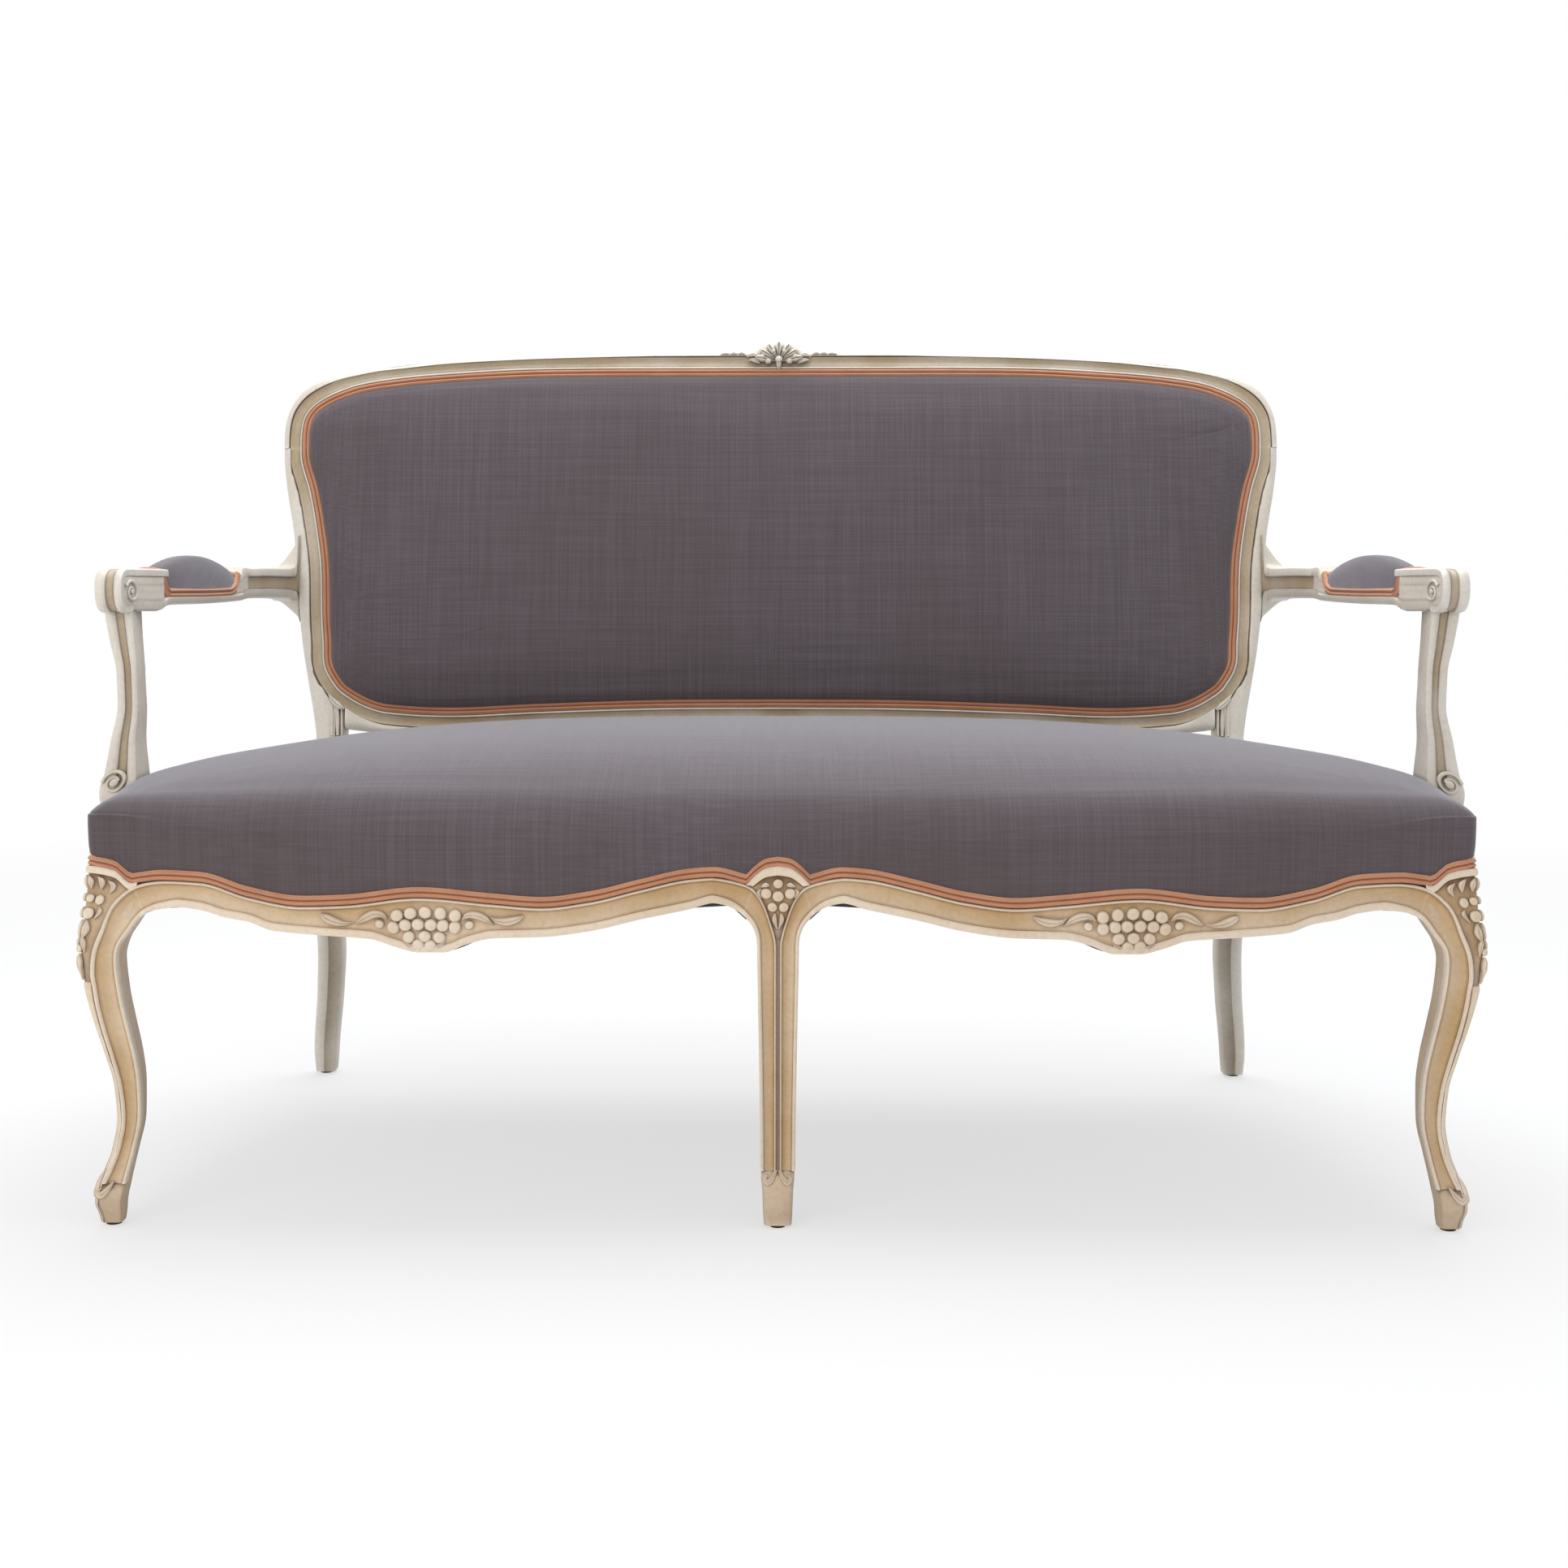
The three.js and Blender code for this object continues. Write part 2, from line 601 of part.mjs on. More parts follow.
// Rear posts: one piece from the floor to the crest rail, with rows of height, splay and size for the leg
const rearLegShares = [
  [0, 1, 1, 0.8, 0.72], [0.069, 0.93, 0.93, 0.9, 0.8], [0.3, 0.27, 0.61, 0.97, 0.86],
  [0.474, -0.05, 0.36, 1, 0.92], [0.653, -0.03, 0.14, 1, 0.97], [0.736, 0, 0, 1, 1], [1.016, 0, 0, 1, 1],
];
function postLegRing(half, z, centreX, centreY, width, depth) {
  const [inner, outer] = [centreX - width / 2, centreX + width / 2];
  const [front, back] = [centreY - depth / 2, centreY + depth / 2];
  return [
    [outer, back - chamfer], [outer, front + chamfer], [outer - chamfer, front], [(inner + outer) / 2, front],
    [inner + chamfer, front], [inner, front + chamfer], [inner, (front + back) / 2], [inner, back - chamfer],
    [inner + chamfer, back], [outer - chamfer, back],
  ].map(([x, y]) => [half * x, y, z]);
}

const armTenonZ = [armLow + armHeight * 0.3, armLow + armHeight * 0.7];
const armEndY = backY(armLow + armHeight / 2);
const armTenonY = [armEndY + tenonThickness * 0.9, armEndY + tenonThickness * 1.9];
const armTenon = half => [
  [half * (armPostX + overrun), armTenonY[0], armTenonZ[0]],
  [half * (armPostX - tenonLength * 0.7), armTenonY[1], armTenonZ[1]],
];
const lowTenonZ = backLow + backHeight * 0.035;
const lowTenonY = backY(lowTenonZ) + tenonThickness;
const lowTenon = half => [
  [half * (backCheekHalf - overrun), lowTenonY, lowTenonZ],
  [half * (backCheekHalf + tenonLength * 0.8), lowTenonY + tenonThickness, lowTenonZ + tenonHeight * 0.7],
];
const stileTopShow = backHalfWidth * stileShow(0.744);
const crestTenonY = backY(backJointZ) + tenonThickness;
const crestTenon = half => [
  [half * (stileTopShow - chamfer), crestTenonY, backJointZ - overrun],
  [half * (backHalfWidth - chamfer * 3), crestTenonY + tenonThickness, backJointZ + tenonLength * 0.8],
];
const armPocket = half => box(
  [half * armPostX, armEndY - backThickness, armLow - armFlare / 2 - armFlare / 4 - gap],
  [half * (armPostX + armWidth), armEndY + backThickness * 2, armLow + armHeight + armFlare + gap],
);

for (const [name, half] of sides) {
  const legRings = rearLegShares.map(([heightShare, splayX, splayY, widthShare, depthShare]) => postLegRing(
    half, legHeightAt(heightShare), postX + postSplayX * splayX, postLineY + postSplayY * splayY,
    postWidth * widthShare, postDepth * depthShare,
  ));
  const top = (backJointZ - backLow) / backHeight;
  const levels = [0, 0.055, 0.107, ...stileLevelShares, top];
  const stileRings = levels.map(level => {
    const z = backLow + backHeight * level;
    const lines = [stileOuter, stileShow, stileInner];
    const [outer, show, inner] = lines.map(line => half * backHalfWidth * line(level));
    const step = half * Math.max(Math.abs(show) - Math.abs(inner), stepRise);
    return backSection([outer, z], [inner + step, z], [inner + half * gap, z]);
  });
  const tenons = [sideTenons(half)[1], rearTenon(half), lowTenon(half), armTenon(half)];
  const holes = tenons.map(ends => mortise(...ends));
  const body = cut(loft([...legRings, ...stileRings]), ...holes, armPocket(half));
  add(`rear_post_${name}`, join(body, box(...crestTenon(half))), paint);
}

// Crest rail: both rounded top corners and the carved crest in one piece, standing on the stiles' tenons
const crestInnerEdge = ([outer, show]) => {
  const length = Math.hypot(show[0] - outer[0], show[1] - outer[1]);
  return [0, 1].map(axis => show[axis] + (show[axis] - outer[axis]) / length * backRebate);
};
function outlinePair(outerShare, showShare, half) {
  return [outerShare, showShare].map(([x, z]) => [half * backHalfWidth * x, backLow + backHeight * z]);
}
const crestPairs = half => crestOuterShares.map((outerShare, i) => (
  outlinePair(outerShare, crestInnerShares[i], half)
));
const crestTop = backLow + backHeight * crestOuterShares.at(-1)[1];
const crestShow = backLow + backHeight * crestInnerShares.at(-1)[1];
const crestBumpShares = [[1, 0.15], [0.7, 0.35], [0.4, 0.85], [0, 1]];
const bumpPairs = half => crestBumpShares.map(([x, rise]) => [
  [half * crestHalf * x, crestTop + crestRise * rise], [half * crestHalf * x, crestShow],
]);
const crestRow = [
  ...crestPairs(-1), ...bumpPairs(-1).slice(0, -1), ...bumpPairs(1).reverse(), ...crestPairs(1).reverse(),
];
const crestSections = crestRow.map((pair, i) => {
  const end = i === 0 || i === crestRow.length - 1;
  const [outer, show] = end ? pair.map(([x]) => [x, backJointZ + gap]) : pair;
  return backSection(outer, show, crestInnerEdge([outer, show]));
});
add('crest_rail', cut(loft(crestSections), ...[-1, 1].map(half => mortise(...crestTenon(half)))), paint);

// Bottom rail of the back, its ends sweeping up into the lower corners
const lowPairs = half => lowOuterShares.map((outerShare, i) => (
  outlinePair(outerShare, lowInnerShares[i], half)
));
const lowRow = [...lowPairs(-1), ...lowPairs(1).reverse().slice(1)];
const lowSections = lowRow.map((pair, i) => {
  const shift = i === 0 ? gap : i === lowRow.length - 1 ? -gap : 0;
  const [outer, show] = pair.map(([x, z]) => [x + shift, z]);
  const inner = shift ? [show[0], show[1] + backRebate] : crestInnerEdge([outer, show]);
  return backSection(outer, show, inner);
});
add('back_bottom_rail', join(loft(lowSections), ...[-1, 1].map(half => box(...lowTenon(half)))), paint);

// Arms: rows of place along the arm, inner edge, outer edge, low and top as shares, then the rows of the turn
// into the post, with its inner and outer corners and its flare below and above
const armRun = backY(armLow) - armFrontY;
const armShares = [
  [0, 0.3, 0.72, -0.08, 0.4], [0.012, 0.16, 0.84, -0.26, 0.6], [0.04, 0.08, 0.9, -0.44, 0.7],
  [0.13, 0.02, 0.98, -0.47, 0.72], [0.175, 0, 1, -0.25, 0.72], [0.2, 0, 1, -0.23, 0.7], [0.36, 0, 1, -0.2, 0.7],
  [0.6, 0, 1, -0.1, 0.72], [0.62, 0, 1, -0.08, 0.96], [0.645, 0.04, 0.96, -0.05, 0.96],
  [0.675, 0.06, 0.94, -0.02, 0.94], [0.8, 0.06, 0.94, 0, 0.98],
];
const armTurnShares = [
  [0.1, -0.36, 1, -0.09, 0.06, 0.05], [0.04, -0.09, 0.8, 0.64, 0.25, 0.35], [0, 0, 0, 1, 0.7, 1],
];
const turnDepth = backThickness - chamfer;
const armInnerShares = [
  [0, 1.074], [0.05, 1.07], [0.17, 1.043], [0.36, 1.032], [0.54, 1.024], [0.8, 1.01], [0.94, 1.004], [1, 1],
];
const armInner = smoothLine(armInnerShares);
const armLedgeShare = 0.22;
const padFromShare = 0.14;
const padToShare = 0.61;
function armSection(inner, outer, low, top, rebated) {
  const back = rebated ? coveDepth : gap / 3;
  const ledge = THREE.MathUtils.lerp(low, top, rebated ? armLedgeShare : 0.5);
  const along = (share, z, extra = 0) => {
    const width = Math.hypot(outer[0] - inner[0], outer[1] - inner[1]);
    const place = share + extra / width;
    return [...[0, 1].map(axis => THREE.MathUtils.lerp(inner[axis], outer[axis], place)), z];
  };
  return [
    along(0, low, chamfer * 1.5), along(0, low + chamfer * 1.5), along(0, ledge), along(0, ledge + gap, back),
    along(0, top - chamfer, back), along(0, top, back + chamfer * 1.5), along(1, top, -back - chamfer * 1.5),
    along(1, top - chamfer, -back), along(1, ledge + gap, -back), along(1, ledge),
    along(1, low + chamfer * 1.5), along(1, low, -chamfer * 1.5),
  ];
}
function armPlace(half, row) {
  const [along, innerShare, outerShare, lowShare, topShare] = row;
  const x = armPostX * armInner(along);
  const y = armFrontY + armRun * along;
  return {
    inner: [half * (x + armWidth * innerShare), y],
    outer: [half * (x + armWidth * outerShare), y],
    low: armLow + armHeight * lowShare,
    top: armLow + armHeight * topShare,
  };
}
const supportTop = armLow - armHeight * 0.47;
const pegRadius = tenonThickness * 0.5;
const peg = (half, air) => roundBar(pegRadius + air, tenonLength + air * 2)
  .rotateX(Math.PI / 2)
  .translate(half * (armPostX * armInner(0.09) + armWidth / 2), supportY, supportTop);

for (const [name, half] of sides) {
  const rings = armShares.map(row => {
    const { inner, outer, low, top } = armPlace(half, row);
    return armSection(inner, outer, low, top, row[0] > padFromShare && row[0] < padToShare);
  });
  const rear = armPostX + gap;
  armTurnShares.forEach(([innerX, innerY, outerX, outerY, lowFlare, topFlare]) => {
    const low = armLow - armFlare * lowFlare;
    const top = armLow + armHeight + armFlare * topFlare;
    const [inner, outer] = [[innerX, innerY], [outerX, outerY]].map(([x, y]) => [
      half * (rear + armWidth * x), armEndY + turnDepth * y,
    ]);
    const ring = armSection(inner, outer, low, top, false);
    const middle = armLow + armHeight / 2;
    rings.push(ring.map(([x, y, z]) => [x, y + backLean * (z - middle) * topFlare, z]));
  });
  const arm = join(loft(rings), box(...armTenon(half)));
  add(`arm_${name}`, cut(arm, peg(half, gap)), paint);
}

// Arm supports: rows of height, outer reach, width, depth and forward shares, from the foot to the arm.
// A depth share of zero marks the narrow foot that is let into the side rail
const supportShares = [
  [0, 0.9935, 0.6, 0, 0], [0.06, 0.9965, 0.6, 0, 0], [0.27, 0.9993, 0.48, 0, 0], [0.38, 1, 1, 1.1, 0],
  [0.45, 0.9928, 0.86, 1, 0], [0.56, 0.984, 0.68, 0.84, 0.02], [0.69, 0.9725, 0.55, 0.72, 0.06],
  [0.8, 0.9732, 0.56, 0.68, 0.08], [0.9, 0.9812, 0.66, 0.7, 0.06], [1, 0.9883, 0.74, 0.76, 0.02],
];
const supportHeight = supportTop - gap - supportFoot;

function supportRing(half, row) {
  const [heightShare, reachShare, widthShare, depthShare, forwardShare] = row;
  const z = supportFoot + supportHeight * heightShare;
  const outer = supportReach * reachShare;
  const inner = z < frameTop + chamfer * 5 ? lapX : outer - supportWidth * widthShare;
  const centre = supportY - supportDepth * forwardShare;
  const depth = Math.max(supportDepth * depthShare, supportFootDepth * (depthShare ? 0 : 1));
  const [front, back] = [centre - depth / 2, centre + depth / 2];
  return [
    [inner + chamfer, front], [(inner + outer) / 2, front + channelDepth / 2], [outer - chamfer, front],
    [outer, front + chamfer], [outer, back - chamfer], [outer - chamfer, back], [inner + chamfer, back],
    [inner, back - chamfer], [inner, front + chamfer],
  ].map(([x, y]) => [half * x, y, z]);
}
for (const [name, half] of sides) {
  const body = join(loft(supportShares.map(row => supportRing(half, row))), peg(half, 0));
  add(`arm_support_${name}`, cut(body, screw(half, gap)), paint);
  add(`support_screw_${name}`, screw(half, 0), steel);
}

// Corner blocks, glued in the angles of the seat frame
function cornerBlock(half, outline) {
  const shape = new THREE.Shape(outline.map(([x, y]) => new THREE.Vector2(half * x, y)));
  const geometry = new THREE.ExtrudeGeometry(shape, { depth: tenonHeight, bevelEnabled: false });
  return geometry.translate(0, 0, tenonLow);
}
for (const [name, half] of sides) {
  const [near, far] = [cheekX - gap * 2, cheekX - blockLeg];
  add(`corner_block_front_${name}`, cornerBlock(half, [
    [near, frontFaceY(cheekX) + railThickness + gap], [far, frontFaceY(far) + railThickness + gap * 2],
    [near, cheekY - chamfer],
  ]), beech);
  const rearY = rearRailY[0] - gap;
  const sideY = rearY - blockLeg;
  add(`corner_block_rear_${name}`, cornerBlock(half, [
    [postInnerX - blockLeg, rearY], [postInnerX - gap, rearY],
    [postInnerX - gap, postFrontY - gap * 2], [sideFaceX(sideY) - railThickness - gap * 2, sideY],
  ]), beech);
}

// Glides under the five feet
const footWidth = kneeWidth * frontLegShares[0][2];
const footReach = kneeReach * frontLegShares[0][1];
const footMiddleY = footWidth / 2 - footReach;
const glides = {
  front_left: [-(footX + footReach - footWidth / 2), footMiddleY],
  front_centre: [0, footMiddleY],
  front_right: [footX + footReach - footWidth / 2, footMiddleY],
  rear_left: [-(postX + postSplayX), postLineY + postSplayY],
  rear_right: [postX + postSplayX, postLineY + postSplayY],
};
for (const [name, [x, y]] of Object.entries(glides)) {
  const glide = new THREE.CylinderGeometry(glideRadius, glideRadius - stepRise, glideHeight, 12);
  add(`glide_${name}`, glide.rotateX(Math.PI / 2).translate(x, y, glideHeight / 2), darkFelt);
}

// Webbing strained under the rails, woven into one net, sagging to a flat middle that carries the springs
const webHalf = webWidth / 2;
const frontLowAt = x => {
  const share = (Math.abs(x) - centreHalf) / (cheekX - centreHalf);
  return railHeightAt(frontLow(THREE.MathUtils.clamp(share, 0, 1)));
};
const sideLowAt = y => railHeightAt(sideLow((y - cheekY) / (postFrontY - cheekY)));
const webRamp = webWidth * 1.6;
function webAlong(x) {
  const front = Math.min(...[-webHalf, 0, webHalf].map(shift => frontLowAt(x + shift))) - gap - webThickness;
  const start = frontFaceY(x) + railThickness;
  return [
    [start - railThickness / 2, front], [start, front], [start + webRamp, webZ],
    [rearRailY[0] - webRamp, webZ], [rearRailY[0], rearRailLow - gap - webThickness],
    [rearRailY[1] - railThickness / 2, rearRailLow - gap - webThickness],
  ].map(([y, z]) => [
    [x - webHalf, y, z], [x + webHalf, y, z],
    [x + webHalf, y, z + webThickness], [x - webHalf, y, z + webThickness],
  ]);
}
function webAcross(y) {
  const low = Math.min(...[-webHalf, 0, webHalf].map(shift => sideLowAt(y + shift))) - gap - webThickness;
  const end = Math.min(sideFaceX(y - webHalf), sideFaceX(y + webHalf)) - railThickness;
  const half = [[end + railThickness / 2, low], [end, low], [end - webRamp, webZ]];
  const line = [...half.map(([x, z]) => [-x, z]), ...half.reverse()];
  return line.map(([x, z]) => [
    [x, y - webHalf, z], [x, y + webHalf, z],
    [x, y + webHalf, z + webThickness], [x, y - webHalf, z + webThickness],
  ]);
}
const webStart = webWidth * 3;
const webPitch = (backHalfWidth - webInset - webStart) / 2;
const alongPlaces = [0, 1, 2].flatMap(i => [-(webStart + webPitch * i), webStart + webPitch * i]);
const acrossPlaces = [0, 1, 2].map(i => webStart + webWidth * 2.8 * i);
const webs = [...alongPlaces.map(webAlong), ...acrossPlaces.map(webAcross)].map(loft);
add('seat_webbing', join(webs[0], ...webs.slice(1)), jute);

// Springs on the webbing, waisted, one continuous wire each
class SpringLine extends THREE.Curve {
  constructor(x, y, low, high) {
    super();
    Object.assign(this, { x, y, low, high });
  }
  getPoint(t, target = new THREE.Vector3()) {
    const turn = Math.PI * 2 * springTurns * t;
    const radius = springWaist + (springRadius - springWaist) * (2 * t - 1) ** 2;
    const z = THREE.MathUtils.lerp(this.low, this.high, t);
    return target.set(this.x + radius * Math.cos(turn), this.y + radius * Math.sin(turn), z);
  }
}
const wireCorners = [[1, 0], [0, 1], [-1, 0], [0, -1]];
const wireShape = new THREE.Shape(wireCorners.map(([x, y]) => (
  new THREE.Vector2(x * springWire, y * springWire)
)));
const springLow = webZ + webThickness + gap + springWire * 1.2;
const springHigh = frameTop - springWire * 1.2;
const springSteps = springTurns * 6;
const springPlaces = [0, 2].flatMap(i => [0, 2].flatMap(j => sides.map(([, half]) => [
  half * (webStart + webPitch * i), acrossPlaces[j],
])));
springPlaces.forEach(([x, y], i) => {
  const extrudePath = new SpringLine(x, y, springLow, springHigh);
  const wire = new THREE.ExtrudeGeometry(wireShape, { steps: springSteps, extrudePath });
  add(`seat_spring_${i + 1}`, wire, steel);
});

// Outline of the upholstered seat: the face of the frame in front and at the sides, and the rear rail's back
const rearLine = rearRailY[1] + rebateDepth;
const rearLineZ = railHeightAt(0.75);
const rearPlace = x => ({ x, y: rearLine, nx: 0, ny: 1, line: rearLineZ, low: rearRailLow });
const sideEnd = sideStart + sideSteps;
const coarseSteps = [
  0, 3, ...[0, 1, 3, 6, 9, 12, 14, 17, 20, 22, railSteps].map(i => railStart + i),
  ...Array.from(rightPlaces.keys()).slice(headStart, sideEnd + 1).filter(i => i !== sideStart),
];
const seatLoop = [
  ...coarseSteps.map(i => rightPlaces[i]),
  ...spread(1, -1, 4).map(t => rearPlace(t * postInnerX)),
  ...coarseSteps.slice(1).reverse().map(i => leftPlaces[i]),
];
const seatRing = (inset, z) => seatLoop.map(place => [
  place.x - place.nx * inset, place.y - place.ny * inset, typeof z === 'function' ? z(place) : z,
]);
const seatMiddleY = (rearLine - faceReach) / 2;
const seatHalfDepth = (rearLine + faceReach) / 2;
const domeRing = (share, z) => seatRing(seatEdgeRound, z).map(([x, y]) => {
  const turn = Math.atan2((y - seatMiddleY) / seatHalfDepth, x / headOuterX);
  const round = Math.min((1 - share) * 2, 1);
  return [
    THREE.MathUtils.lerp(x, headOuterX * Math.cos(turn), round) * share,
    seatMiddleY + THREE.MathUtils.lerp(y - seatMiddleY, seatHalfDepth * Math.sin(turn), round) * share,
    z,
  ];
});

// Notches round the rear posts and the arm supports
const postNotch = (half, air) => box(
  [half * (Math.min(backCheekHalf, postInnerX) - air), postFrontY - air, rearRailLow - overrun],
  [half * (backHalfWidth + overrun), backY(backLow) + backThickness * 2, seatCrown + overrun],
);
const supportNotch = (half, air, depth, low) => box(
  [half * (supportReach - supportWidth - air), supportY - depth / 2 - air, low],
  [half * (supportReach + overrun), supportY + depth / 2 + air, seatCrown + overrun],
);
const notches = air => [-1, 1].flatMap(half => [
  postNotch(half, air),
  supportNotch(half, air, supportFootDepth, supportFoot - overrun),
  supportNotch(half, air, supportDepth * 1.1, frameTop + chamfer),
]);

// Hessian over the springs
const hessianLow = frameTop + gap;
const hessianTop = hessianLow + hessianThickness;
const hessianInset = rebateDepth + chamfer;
add('seat_hessian', cut(
  loft([seatRing(hessianInset, hessianLow), seatRing(hessianInset, hessianTop)]),
  ...notches(clothGap),
), jute);

// Seat stuffing: drawn in at the frame, full at the edge and crowned in the middle
const edgeRise = seatEdgeZ - hessianTop;
const seatWallShares = [[1, 0.02], [0.4, 0.3], [0, 0.62]];
const seatDomeShares = [[0.8, 0.62], [0.52, 0.9], [0.25, 0.99]];
function seatRings(out) {
  const wall = seatWallShares.map(([drawnIn, rise]) => {
    const inset = THREE.MathUtils.lerp(seatInset, rebateDepth + clothGap, drawnIn);
    return seatRing(inset - out, hessianTop + clothGap + edgeRise * rise);
  });
  const top = seatEdgeZ + (seatCrown - seatEdgeZ) * 0.05;
  return [
    ...wall,
    seatRing(seatEdgeRound * 0.28 - out * 0.7, seatEdgeZ - edgeRise * 0.07 + out * 0.7),
    domeRing(1, top + out),
    ...seatDomeShares.map(([share, rise]) => domeRing(share, top + (seatCrown - top) * rise + out)),
  ];
}
add('seat_stuffing', cut(loft(seatRings(0)), ...notches(clothGap)), hair);

// Seat cover: a cloth shell over the stuffing, down the frame's rebate to the upholstery line
const rimZ = place => place.line + gimpHeight * 0.4;
const coverIn = rebateDepth - clothGap;
const coverOut = coverIn - coverThickness;
const innerWall = [seatRing(coverIn, rimZ), seatRing(coverIn, hessianTop)];
const outerWall = [seatRing(coverOut, rimZ), seatRing(coverOut, hessianTop)];
const seatCover = loft([
  ...seatRings(clothGap).slice(1).reverse(), ...innerWall.reverse(),
  ...outerWall, ...seatRings(clothGap + coverThickness).slice(1),
]);
add('seat_cover', cut(seatCover, ...notches(clothGap * 2)), linen);

// Gimp round the seat, over the cover's tacked edge
function gimpSection(place) {
  const low = place.line + stepRise + clothGap;
  const top = low + gimpHeight;
  const inner = coverOut - clothGap;
  const outer = inner - gimpThickness;
  const at = (inset, z) => [place.x - place.nx * inset, place.y - place.ny * inset, z];
  return [at(inner, low), at(inner, top), at(outer, top), at(outer, low)];
}
const supportStart = sideStart + sideYs.indexOf(supportFrontY);
const frontGimpPlaces = half => (half < 0 ? leftPlaces : rightPlaces)
  .filter((place, i) => i !== railStart && i !== sideStart && i <= supportStart);
add('seat_gimp_front', loft([
  ...frontGimpPlaces(-1).reverse(), ...frontGimpPlaces(1).slice(1),
].map(gimpSection)), gimpCloth);
for (const [name, half] of sides) {
  const places = (half < 0 ? leftPlaces : rightPlaces).slice(supportStart + 1);
  places.push({ ...places.pop(), y: postFrontY - gap });
  add(`seat_gimp_${name}`, loft(places.map(gimpSection)), gimpCloth);
}
const rearGimpHalf = postInnerX - clothGap;
const rearGimpPlaces = spread(-rearGimpHalf, rearGimpHalf, 2).map(rearPlace);
add('seat_gimp_rear', loft(rearGimpPlaces.map(gimpSection)), gimpCloth);

// Dust cover under the webbing, tacked below the rails and sagging between them
function dustEdge(half) {
  const places = half < 0 ? leftPlaces : rightPlaces;
  const under = (i, from, to) => {
    const near = places.slice(Math.max(i - 3, from), Math.min(i + 4, to));
    const low = Math.min(...near.map(place => place.low)) - webThickness * 2 - gap * 3;
    const { x, y, nx, ny } = places[i];
    return [x - nx * railThickness * 0.7, y - ny * railThickness * 0.7, low];
  };
  const front = spread(railStart, railStart + railSteps, 8).map(i => under(i, railStart, headStart));
  const side = [0, 2, 5, 7, sideSteps].map(i => under(sideStart + i, sideStart, places.length));
  const airs = gap * 2;
  front[0][0] = half * (centreHalf + airs);
  front[front.length - 1][0] = half * (cheekX - airs);
  side[0][1] = cheekY + airs;
  side[side.length - 1][1] = postFrontY - airs;
  const rear = rearRailLow - webThickness * 2 - gap * 3;
  return [
    [half * (centreHalf + airs), cheekY, webZ - gap * 3], ...front,
    [half * (cheekX - airs), cheekY + airs, front.at(-1)[2]], ...side,
    [half * (postInnerX - airs), postFrontY - airs, rear],
    [half * (postInnerX - airs), rearRailY[1] - railThickness / 2, rear],
  ];
}
const dustOutline = [...dustEdge(1), ...dustEdge(-1).reverse()];
function dustRing(share, sag, drop) {
  return dustOutline.map(([x, y, z]) => [
    x * share, seatMiddleY + (y - seatMiddleY) * share, THREE.MathUtils.lerp(z, dustZ, sag) - drop,
  ]);
}
const dustRowShares = [[0.25, 1], [0.72, 0.85], [0.91, 0.2], [0.95, 0], [1, 0]];
add('dust_cover', loft([
  ...dustRowShares.map(([share, sag]) => dustRing(share, sag, 0)),
  ...dustRowShares.map(([share, sag]) => dustRing(share, sag, coverThickness)).reverse(),
]), blackCloth);

// Outline of the back's show edge, round which its upholstery is set
const innerLoop = (shares, half) => shares.map(([x, z]) => [
  half * backHalfWidth * x, backLow + backHeight * z,
]);
const stileRows = stileLevelShares.map(level => [stileShow(level), level]);
const crestRows = crestInnerShares.filter((row, i) => i > 0 && ![7, 9, 10].includes(i));
const backLoop = [
  ...innerLoop(lowInnerShares, 1).reverse(), ...innerLoop([...stileRows, ...crestRows], 1),
  ...innerLoop([...stileRows, ...crestRows], -1).reverse(), ...innerLoop(lowInnerShares.slice(0, -1), -1),
];
const backMiddle = [0, backLow + backHeight / 2];
function backRing(inset, depth) {
  return backLoop.map((point, i) => {
    const before = backLoop.at(i - 1);
    const after = backLoop[(i + 1) % backLoop.length];
    const along = [after[0] - before[0], after[1] - before[1]];
    const length = Math.hypot(...along);
    const x = point[0] - along[1] / length * inset;
    const z = point[1] + along[0] / length * inset;
    return [x, backY(z) + depth, z];
  });
}
const backDome = (share, depth) => backRing(backRebate * 2.5, depth).map(([x, , z]) => {
  const height = backMiddle[1] + (z - backMiddle[1]) * share;
  return [x * share, backY(height) + depth, height];
});
const backHessianBack = backRebateDepth - gap;
const backHessianFront = backHessianBack - hessianThickness;
add('back_hessian', loft([backRing(chamfer, backHessianBack), backRing(chamfer, backHessianFront)]), jute);

// Back stuffing: a low dome, rows of inset and rise
const padEdge = backRebate - chamfer;
function backRows(out) {
  return [
    backRing(padEdge - out, backHessianFront - clothGap * 2),
    backRing(padEdge + coveDepth - out, -backPadRise * 0.2 - out * 1.7),
    backRing(backRebate * 2.2, -backPadRise * 0.55 - out * 1.2),
    backDome(0.8, -backPadRise * 0.85 - out),
    backDome(0.35, -backPadRise - out),
  ];
}
add('back_stuffing', loft([backRing(padEdge, backHessianFront - clothGap), ...backRows(0)]), hair);
const flange = backHessianFront - clothGap;
add('back_cover', loft([
  ...backRows(clothGap).reverse(), backRing(stepRise, flange),
  backRing(stepRise, flange - coverThickness), ...backRows(clothGap + coverThickness).map((ring, i) => (
    i === 0 ? backRing(padEdge - clothGap - coverThickness, flange - coverThickness) : ring
  )),
]), linen);
const gimpFace = flange - coverThickness - clothGap;
const band = (from, to, near, far) => {
  const rings = [backRing(from, near), backRing(to, near), backRing(to, far), backRing(from, far)];
  return loop(backLoop.map((unused, i) => rings.map(ring => ring[i])));
};
add('back_gimp_front', band(stepRise, stepRise + gimpHeight, gimpFace, gimpFace - gimpThickness), gimpCloth);

